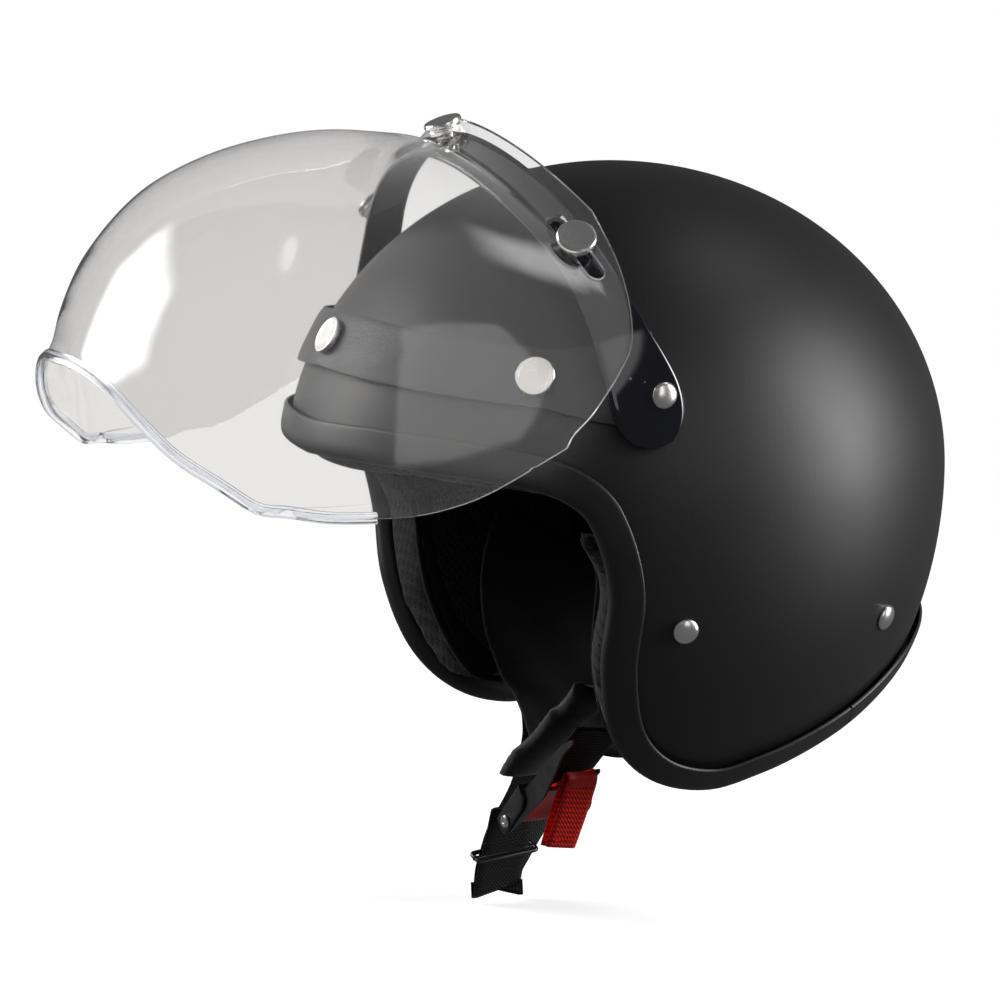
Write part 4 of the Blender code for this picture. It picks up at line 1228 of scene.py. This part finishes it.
def visor_bead():
    """Clear edge bead pressed over the visor's lower lip."""
    grid = visor_grid(-VISOR_THICK / 2, 200, 96)
    run = [(visor_point(p), visor_point(q)) for p, q in bead_run(grid)]
    edges = eased([edge for edge, inner in run], 20)
    downs = eased([(edge - inner).normalized() for edge, inner in run], 80)
    frames = []
    for i in range(1, len(run) - 1):
        along = (edges[i + 1] - edges[i - 1]).normalized()
        down = (downs[i] - along * downs[i].dot(along)).normalized()
        frames.append((edges[i], along.cross(down).normalized(), down))
    slot = 1.2
    half = 1.9
    round_lip = [(half * math.sin(math.radians(a)), 0.1 + 1.8 * math.cos(math.radians(a)))
                 for a in range(-90, 91, 15)]
    profile = [(-slot, -2.2), (-1.7, -2.2), (-half, -1.9)] + round_lip
    profile += [(half, -1.9), (1.7, -2.2), (slot, -2.2), (slot, 0.5), (-slot, 0.5)]
    bm = raise_up(swept_solid(frames, profile, closed=False))
    finish_mesh("visor_bead", bm, LOOKS["clear_bead"], BODY_VISOR, "visor_edge_bead", sharp=50)


def visor_snaps():
    """Silver cap on a narrower collar, and the post through the visor, at each of the three places."""
    for word, x, lift in (("right", -SNAP_X, SIDE_LIFT), ("center", 0.0, MIDDLE_LIFT), ("left", SNAP_X, SIDE_LIFT)):
        foot, axis = snap_frame(x)[:2]
        post = raise_up(turned_solid(foot + axis * 0.3, axis,
                                     ((0, 0), (2.7, 0), (POST_R, 0.2), (POST_R, lift - 0.5), (0, lift - 0.5)), 48))
        finish_mesh("visor_post_" + word, post, LOOKS["nickel"], BODY_VISOR, "visor_stud_" + word)
        r = SNAP_R
        low = 4.1 - lift
        profile = ((0, low), (r - 1.5, low), (r - 1.1, low + 0.3), (r - 1.0, -0.9), (r - 1.4, -0.3), (r - 1.3, 0.1),
                   (r - 0.5, 0.25), (r - 0.05, 0.6), (r, 1.3), (r - 0.15, 2.0), (r - 0.55, 2.42), (r - 1.1, 2.55),
                   (r - 1.5, 2.5), (r - 2.0, 2.42), (0, 2.5))
        cap = raise_up(turned_solid(foot + axis * lift, axis, profile, 96))
        finish_mesh("visor_cap_" + word, cap, LOOKS["nickel"], BODY_VISOR, "visor_snap_cap_" + word,
                    sharp=28)


def pivot_rivets():
    for side, word in ((1, "left"), (-1, "right")):
        place = Vector((side * (ARCH_WIDE + ARCH_THICK + 0.3), PIVOT_Y, PIVOT_Z))
        head = turned_solid(place, (side, 0, 0), dome_profile(RIVET_R, 2.5), 72)
        finish_mesh("pivot_head_" + word, raise_up(head), LOOKS["nickel"], BODY_VISOR, "pivot_rivet_" + word,
                    sharp=50)


# ------------------------------------------------------------------ chin strap

WEB_WIDE = 22.0
WEB_THICK = 1.8
WEB_TURN = -8.0
BUCKLE_ALONG = Vector((0.74, 0.0, 0.673)).normalized()
BUCKLE_ACROSS = Vector((0, 1, 0))
BUCKLE_OUT = -BUCKLE_ACROSS.cross(BUCKLE_ALONG)
BUCKLE_AT = Vector((29, -42.5, -126.5))
if BUCKLE_OUT.z > 0:
    BUCKLE_OUT = -BUCKLE_OUT
LEVER_AT = BUCKLE_AT + BUCKLE_ALONG * -6 + BUCKLE_OUT * 3.6


WEB_LEFT = ((62, -34, -91.5), (51, -38, -104.5), (41, -41, -116))
WEB_RIGHT = ((-61, 0, -86), (-56, -1, -105), (-42, -6, -121), (-24, -20, -137), (-12, -38, -154),
             (-8.8, -43.6, -164), (-6.9, -45.2, -170.4), (-4.7, -45.6, -165), (2, -45.3, -150),
             (9.5, -45.1, -132))
SLEEVE_PATH = ((64, -35.5, -74), (52, -39.5, -86), (33, -43.2, -101.5), (13, -44.6, -119))
SLEEVE_PROFILE = ((-11, -3.0), (0, -3.8), (11, -3.0), (11, 3.0), (0, 3.8), (-11, 3.0))


def strap_frames(points, count, turn=0.0):
    path = smooth_path(points, count)
    wide = Vector((math.sin(math.radians(turn)), math.cos(math.radians(turn)), 0))
    frames = []
    for i, point in enumerate(path):
        along = (path[min(i + 1, count - 1)] - path[max(i - 1, 0)]).normalized()
        across = (wide - along * wide.dot(along)).normalized()
        frames.append((point, across, along.cross(across).normalized()))
    return frames


def strap_profile(width, thick):
    """Flat oval with soft selvedges."""
    profile = []
    for side in (-1, 1):
        for k in range(13):
            u = -width / 2 + width * k / 12
            fall = min(max(abs(u) / (width / 2) - 0.8, 0) / 0.2, 1.0)
            profile.append((-side * u, side * thick / 2 * math.sqrt(max(1 - fall ** 2, 0.05))))
    return profile


def strap_band(name, points, count, width, thick, look, body, stands_for=(), turn=0.0):
    bm = swept_solid(strap_frames(points, count, turn), strap_profile(width, thick), closed=False)
    return finish_mesh(name, bm, LOOKS[look], body, stands_for, sharp=60)


def chin_strap():
    strap_band("web_left", WEB_LEFT, 60, WEB_WIDE, WEB_THICK, "webbing", BODY_STRAP,
               "strap_web_left")
    strap_band("web_right", WEB_RIGHT, 260, WEB_WIDE, WEB_THICK, "webbing", BODY_STRAP,
               "strap_web_right", WEB_TURN)
    sleeve()
    throat_flap()


def sleeve():
    """Padded knit sleeve, puffed between its edge seams."""
    bm = swept_solid(strap_frames(SLEEVE_PATH, 40), SLEEVE_PROFILE, closed=False)
    pillow("sleeve_pad", bm, 1.4, BODY_STRAP, "strap_sleeve", LOOKS["sleeve_fabric"], 8)


FLAP_PATH = ((-65, 20, -44), (-61, 12, -60), (-54, 9, -88), (-45, 8, -102), (-30, 3, -112), (-14, -3, -120))
FLAP_HALF = ((0, 40), (0.35, 37), (0.62, 28), (0.82, 24), (1, 21))
FLAP_THICK = 2.2


def throat_flap():
    """Soft cloth sewn along the far strap, between it and the throat, with a piped edge."""
    frames = strap_frames(FLAP_PATH, 41)
    grids = ([], [])
    edge = []
    for j, (point, across, normal) in enumerate(frames):
        half = smooth_table(FLAP_HALF, j / 40)
        for grid, side in zip(grids, (1, -1)):
            row = []
            for i in range(37):
                t = -1 + i / 18
                wave = 0.9 * math.sin(3.1 * t + 0.16 * j) + 0.5 * math.sin(7.0 * t - 0.3 * j)
                puff = FLAP_THICK * (1 - 0.6 * abs(t) ** 6)
                row.append(point + across * half * t + normal * (wave + side * puff))
            grid.append(row)
        edge.append(point - across * half * 0.93 + normal * (0.9 * math.sin(-2.9 + 0.16 * j)))
    finish_mesh("throat_flap", sheet_solid(*grids), LOOKS["pad_fabric"], BODY_STRAP, sharp=0,
                subdiv=1)
    finish_mesh("throat_piping", tube(edge[1:-1], 1.2, sides=10), LOOKS["pad_fabric"], BODY_STRAP,
                sharp=0)


def rounded(outline, radius, steps=5):
    """Round the corners of a polygon given as (a, b) pairs."""
    pts = [Vector(p) for p in outline]
    out = []
    for i, corner in enumerate(pts):
        before = (pts[i - 1] - corner)
        after = (pts[(i + 1) % len(pts)] - corner)
        cut = min(radius, before.length * 0.45, after.length * 0.45)
        start = corner + before.normalized() * cut
        end = corner + after.normalized() * cut
        for k in range(steps + 1):
            t = k / steps
            out.append(tuple(start * (1 - t) ** 2 + corner * 2 * t * (1 - t) + end * t * t))
    return out


def buckle_frame():
    """Folded steel channel with ears round the lever's pin, and the pin's two heads."""
    w = 14.5
    bm = bmesh.new()
    pts = rounded(((-w, -2), (w, -2), (w, 7), (w - 1.5, 7), (w - 1.5, -0.5), (-w + 1.5, -0.5), (-w + 1.5, 7),
                   (-w, 7)), 0.7, 3)
    rings = []
    for step in (-13, -11.5, 9, 13):
        rise = 0.62 if step in (-13, 13) else 1.0
        ring = []
        for a, o in pts:
            lifted = o if o < 2 else o * rise
            ring.append(bm.verts.new(BUCKLE_AT + BUCKLE_ALONG * step + BUCKLE_ACROSS * a + BUCKLE_OUT * lifted))
        rings.append(ring)
    for a, b in zip(rings, rings[1:]):
        ring_faces(bm, a, b)
    bm.faces.new(rings[0])
    bm.faces.new(rings[-1])
    finish_mesh("buckle_channel", bm, LOOKS["dark_steel"], BODY_STRAP, "buckle_frame", sharp=35)
    for side, word in ((-1, "front"), (1, "rear")):
        head = LEVER_AT + BUCKLE_ACROSS * side * (w + 0.1)
        profile = ((0, 0), (2.2, 0), (2.6, 0.3), (2.6, 1.0), (2.2, 1.45), (1.2, 1.5), (1.0, 1.2), (0, 1.2))
        finish_mesh("buckle_head_" + word, turned_solid(head, BUCKLE_ACROSS * side, profile, 40), LOOKS["nickel"],
                    BODY_STRAP, "buckle_pin_" + word)


def lever_place(s, o, a=0.0):
    """Point on the lever: s along it from its pin, o out from the strap, a towards the nape."""
    return LEVER_AT + BUCKLE_ALONG * s + BUCKLE_OUT * o + BUCKLE_ACROSS * a


def swept_plate(points, width_of, thick, across=BUCKLE_ACROSS, shift=0.0):
    """Bent plate along (s, o) points; width_of gives its half width by share of its length."""
    path = smooth_path([lever_place(s, o) for s, o in points], 48)
    grids = ([], [])
    for i, point in enumerate(path):
        along = (path[min(i + 1, 47)] - path[max(i - 1, 0)]).normalized()
        normal = along.cross(across).normalized()
        half = width_of(i / 47)
        for grid, side in zip(grids, (1, -1)):
            row = []
            for k in range(9):
                t = -1 + k / 4
                bend = thick / 2 * (1 - 0.5 * abs(t) ** 8)
                row.append(point + across * (half * t + shift) + normal * side * bend)
            grid.append(row)
    return sheet_solid(*grids)


# Lever: side line of the red finger plate as (along, out); the arm on the nape side is shorter
FINGER_SIDE = ((-1.5, -0.8), (3, 0.8), (12, 0.4), (24, 1.6), (34, 5.4), (40, 8.2), (43.5, 7.6), (44.5, 5.2))
REAR_ARM = 0.6


def buckle_lever():
    """Pressed steel arms on the pin and the red finger lever between them."""
    finger = swept_plate(FINGER_SIDE,
                         lambda t: 11.5 - 5.6 * smooth_step(0.3, 0.95, t), 2.4)
    finish_mesh("lever_red", finger, LOOKS["red_plastic"], BODY_LEVER, "buckle_lever", sharp=60)
    rib = swept_plate(((1, -1.8), (10, -2.0), (22, -0.6), (33, 3.0)), lambda t: 5.5, 1.6)
    finish_mesh("lever_rib", rib, LOOKS["red_plastic"], BODY_LEVER, sharp=60)
    outline = rounded(((-6.6, -3.2), (-2.0, -4.6), (7.0, -4.4), (24, -2.6), (40, -2.6), (56, -1.0), (66, 2.0),
                       (65, 3.4), (54, 2.2), (42, 4.6), (30, 7.2), (14, 6.4), (2.0, 4.4), (-5.4, 3.2)), 3.0)
    for side, word in ((-1, "front"), (1, "rear")):
        bm = bmesh.new()
        rings = []
        for depth in (0.0, 1.0):
            ring = []
            for s, o in outline:
                if side > 0:
                    s *= REAR_ARM
                lean = -side * 2.6 * smooth_step(14.0, 40.0, s)
                ring.append(bm.verts.new(lever_place(s, o, side * (12.6 + depth * 0.9) + lean)))
            rings.append(ring)
        ring_faces(bm, rings[0], rings[1])
        bm.faces.new(rings[0])
        bm.faces.new(rings[1])
        finish_mesh("lever_arm_" + word, bm, LOOKS["dark_steel"], BODY_LEVER, sharp=35)
        head = turned_solid(lever_place(7.5, 0.2, side * 13.4), BUCKLE_ACROSS * side,
                            ((0, 0), (1.9, 0), (2.2, 0.4), (1.9, 0.9), (1.0, 1.05), (0, 1.05)), 32)
        finish_mesh("lever_pin_" + word, head, LOOKS["nickel"], BODY_LEVER)


def pull_tab():
    """Red ribbed webbing, looped through the lever's end and sewn below."""
    top = lever_place(42, 6.0)
    down = Vector((-12, -3.5, -30.5))
    lay = Vector((1.7, 0.4, 0))
    route = (top + down * 0.97 - lay, top + down * 0.5 - lay * 1.25, top + down * 0.06 - lay * 0.9,
             top + Vector((0.4, 0, 1.6)), top + down * 0.06 + lay * 1.1, top + down * 0.5 + lay * 1.1,
             top + down * 0.97 + lay * 0.7)
    strap_band("pull_loop", [tuple(p) for p in route], 160, 12.5, 1.4, "red_webbing", BODY_LEVER,
               "pull_tab", turn=6.0)
    stitches("pull_stitch", [top + down * 0.86 + lay * 1.35 + Vector((0.2, y, 0)) for y in (-4.6, 4.6)], 7,
             BODY_LEVER, "red_webbing")


def stitches(name, ends, count, body, look, radius=0.28):
    """Row of short thread stitches between two points."""
    a, b = Vector(ends[0]), Vector(ends[1])
    run = (b - a)
    step = run / count
    bm = bmesh.new()
    for k in range(count):
        start = a + step * (k + 0.2)
        end = a + step * (k + 0.8)
        add_tube(bm, [start, start.lerp(end, 0.5) + Vector((0.12, 0, 0)), end], radius)
    finish_mesh(name, bm, LOOKS[look], body, sharp=0)


def add_tube(bm, points, radius, sides=6):
    """Short round cord with closed ends, added to a mesh that holds others."""
    rings = []
    for i, point in enumerate(points):
        along = (points[min(i + 1, len(points) - 1)] - points[max(i - 1, 0)]).normalized()
        side = along.orthogonal().normalized()
        other = along.cross(side)
        angles = [2 * math.pi * k / sides for k in range(sides)]
        rings.append([bm.verts.new(point + (side * math.cos(a) + other * math.sin(a)) * radius) for a in angles])
    for a, b in zip(rings, rings[1:]):
        ring_faces(bm, a, b)
    bm.faces.new(rings[0])
    bm.faces.new(rings[-1])


def strap_adjuster():
    """Wire slide round the webbing: an outer loop with a middle bar across it."""
    along = Vector((5.5, -0.2, 15)).normalized()
    across = Vector((math.sin(math.radians(WEB_TURN)), math.cos(math.radians(WEB_TURN)), 0))
    across = (across - along * across.dot(along)).normalized()
    out = across.cross(along)
    centre = Vector((0.7, -45.5, -153.1))
    outline = rounded([(-13.6, -3.3), (13.6, -3.3), (13.6, 3.3), (-13.6, 3.3)], 1.6)
    loop = [centre + across * a + out * o for a, o in outline]
    bm = tube(loop, 0.95, closed=True, sides=12)
    finish_mesh("slide_loop", bm, LOOKS["dark_steel"], BODY_ADJUSTER, "strap_adjuster", sharp=0)
    bar = tube([centre + across * a + out * 0.2 for a in (-14.6, -13.9, 0, 13.9, 14.6)], 0.85, sides=12)
    finish_mesh("slide_bar", bar, LOOKS["dark_steel"], BODY_ADJUSTER, sharp=40)


# ------------------------------------------------------------------ assembly and studio

def helmet():
    outer_shell()
    edge_trim()
    eps_liner()
    comfort_liner()
    brow_pad()
    cheek_pads()
    neck_roll()
    base_strap()
    brow_snaps()
    shell_rivets()
    flip_arch()
    bubble_visor()
    visor_bead()
    visor_snaps()
    pivot_rivets()
    chin_strap()
    buckle_frame()
    buckle_lever()
    pull_tab()
    strap_adjuster()


CAMERA_AZIMUTH = 64.8008
CAMERA_HEIGHT = 9.3225
CAMERA_AT = Vector((1267.546, -643.536, 219.420))
CAMERA_LENS = 129.768
LIGHT_AIM = Vector((0, 0, 10))


def camera():
    a = math.radians(CAMERA_AZIMUTH)
    e = math.radians(CAMERA_HEIGHT)
    right = Vector((math.cos(a), math.sin(a), 0))
    up = Vector((-math.sin(a) * math.sin(e), math.cos(a) * math.sin(e), math.cos(e)))
    back = Vector((math.sin(a) * math.cos(e), -math.cos(a) * math.cos(e), math.sin(e)))
    data = bpy.data.cameras.new("camera")
    data.lens = CAMERA_LENS
    data.sensor_width = 36
    data.clip_end = 100
    obj = bpy.data.objects.new("camera", data)
    bpy.context.scene.collection.objects.link(obj)
    obj.matrix_world = Matrix.Translation(CENTRE + CAMERA_AT * MM) @ Matrix((right, up, back)).transposed().to_4x4()
    bpy.context.scene.camera = obj


def softbox(name, azimuth, height, distance, size, power, edge=0.25):
    """Area light aimed at the helmet, fading at its edges; azimuth 0 is ahead, 90 at the wearer's left."""
    a = math.radians(azimuth)
    e = math.radians(height)
    out = Vector((math.sin(a) * math.cos(e), -math.cos(a) * math.cos(e), math.sin(e)))
    data = bpy.data.lights.new(name, "AREA")
    data.shape = "RECTANGLE"
    data.size = size[0]
    data.size_y = size[1]
    data.energy = power
    data.use_nodes = True
    nodes = data.node_tree.nodes
    links = data.node_tree.links
    across = nodes.new("ShaderNodeSeparateXYZ")
    links.new(nodes.new("ShaderNodeNewGeometry").outputs["Parametric"], across.inputs[0])
    strength = None
    for axis in (0, 1):
        for low, high in ((0.0, edge), (1.0, 1.0 - edge)):
            fade = nodes.new("ShaderNodeMapRange")
            fade.interpolation_type = "SMOOTHSTEP"
            fade.inputs[1].default_value = low
            fade.inputs[2].default_value = high
            links.new(across.outputs[axis], fade.inputs[0])
            if strength is None:
                strength = fade.outputs[0]
                continue
            times = nodes.new("ShaderNodeMath")
            times.operation = "MULTIPLY"
            links.new(strength, times.inputs[0])
            links.new(fade.outputs[0], times.inputs[1])
            strength = times.outputs[0]
    links.new(strength, nodes["Emission"].inputs["Strength"])
    obj = bpy.data.objects.new(name, data)
    bpy.context.scene.collection.objects.link(obj)
    obj.location = CENTRE + LIGHT_AIM * MM + out * distance
    obj.rotation_euler = out.to_track_quat("Z", "Y").to_euler()
    return obj


def backdrop():
    """White surroundings for the camera, dim ones for everything the helmet reflects."""
    world = bpy.data.worlds.new("studio")
    bpy.context.scene.world = world
    world.use_nodes = True
    nodes = world.node_tree.nodes
    links = world.node_tree.links
    shade = nodes["Background"]
    path = nodes.new("ShaderNodeLightPath")
    straight = nodes.new("ShaderNodeMath")
    straight.operation = "MAXIMUM"
    links.new(path.outputs["Is Camera Ray"], straight.inputs[0])
    links.new(path.outputs["Is Transmission Ray"], straight.inputs[1])
    mix = nodes.new("ShaderNodeMix")
    mix.data_type = "RGBA"
    room = nodes.new("ShaderNodeMix")
    room.data_type = "RGBA"
    room.inputs[6].default_value = (0.02, 0.02, 0.021, 1)
    room.inputs[7].default_value = (0.12, 0.12, 0.123, 1)
    links.new(path.outputs["Is Glossy Ray"], room.inputs[0])
    links.new(room.outputs[2], mix.inputs[6])
    mix.inputs[7].default_value = (1.0, 1.0, 1.0, 1)
    links.new(straight.outputs[0], mix.inputs[0])
    links.new(mix.outputs[2], shade.inputs["Color"])


def floor():
    """Pale floor that fades into the backdrop."""
    bm = bmesh.new()
    bmesh.ops.create_circle(bm, cap_ends=True, radius=6.0, segments=96)
    mesh = bpy.data.meshes.new("floor")
    bm.to_mesh(mesh)
    bm.free()
    obj = bpy.data.objects.new("floor", mesh)
    bpy.context.scene.collection.objects.link(obj)
    obj.location.z = CAD_BOX[0].z - 0.002
    look = Look("floor", (0.8, 0.8, 0.8), 0.7)
    look.tint(look.noise(3.0, 3.0), (0.78, 0.78, 0.78), (0.82, 0.82, 0.82))
    look.set(Emission_Color=(1, 1, 1, 1), Emission_Strength=0.66)
    x, y, _ = look.axes("Object")
    far = look.math("SQRT", look.math("ADD", look.math("MULTIPLY", x, x), look.math("MULTIPLY", y, y)))
    clear = look.node("ShaderNodeBsdfTransparent")
    mix = look.node("ShaderNodeMixShader")
    look.put(look.band(0.2, 1.1, far), mix.inputs[0])
    look.links.new(look.bsdf.outputs[0], mix.inputs[1])
    look.links.new(clear.outputs[0], mix.inputs[2])
    look.links.new(mix.outputs[0], look.nodes["Material Output"].inputs["Surface"])
    look.bump(look.noise(30.0, 3.0), 0.0002)
    mesh.materials.append(look.mat)
    obj.visible_diffuse = False
    obj.visible_glossy = False


def studio():
    bpy.context.scene.view_settings.view_transform = "Standard"
    backdrop()
    floor()
    softbox("key_front", -42, 20, 1.9, (1.2, 1.5), 46)
    softbox("strip_rear", 150, 12, 1.6, (0.75, 1.9), 74, 0.4)
    softbox("side_panel", 94.5, 19, 2.2, (0.8, 1.9), 5.5, 0.08)
    softbox("top_rear", 170, 60, 1.8, (0.9, 0.7), 6, 0.4)
    softbox("fill_camera", 58, 30, 2.6, (0.9, 0.9), 0.7)
    camera()


helmet()
studio()
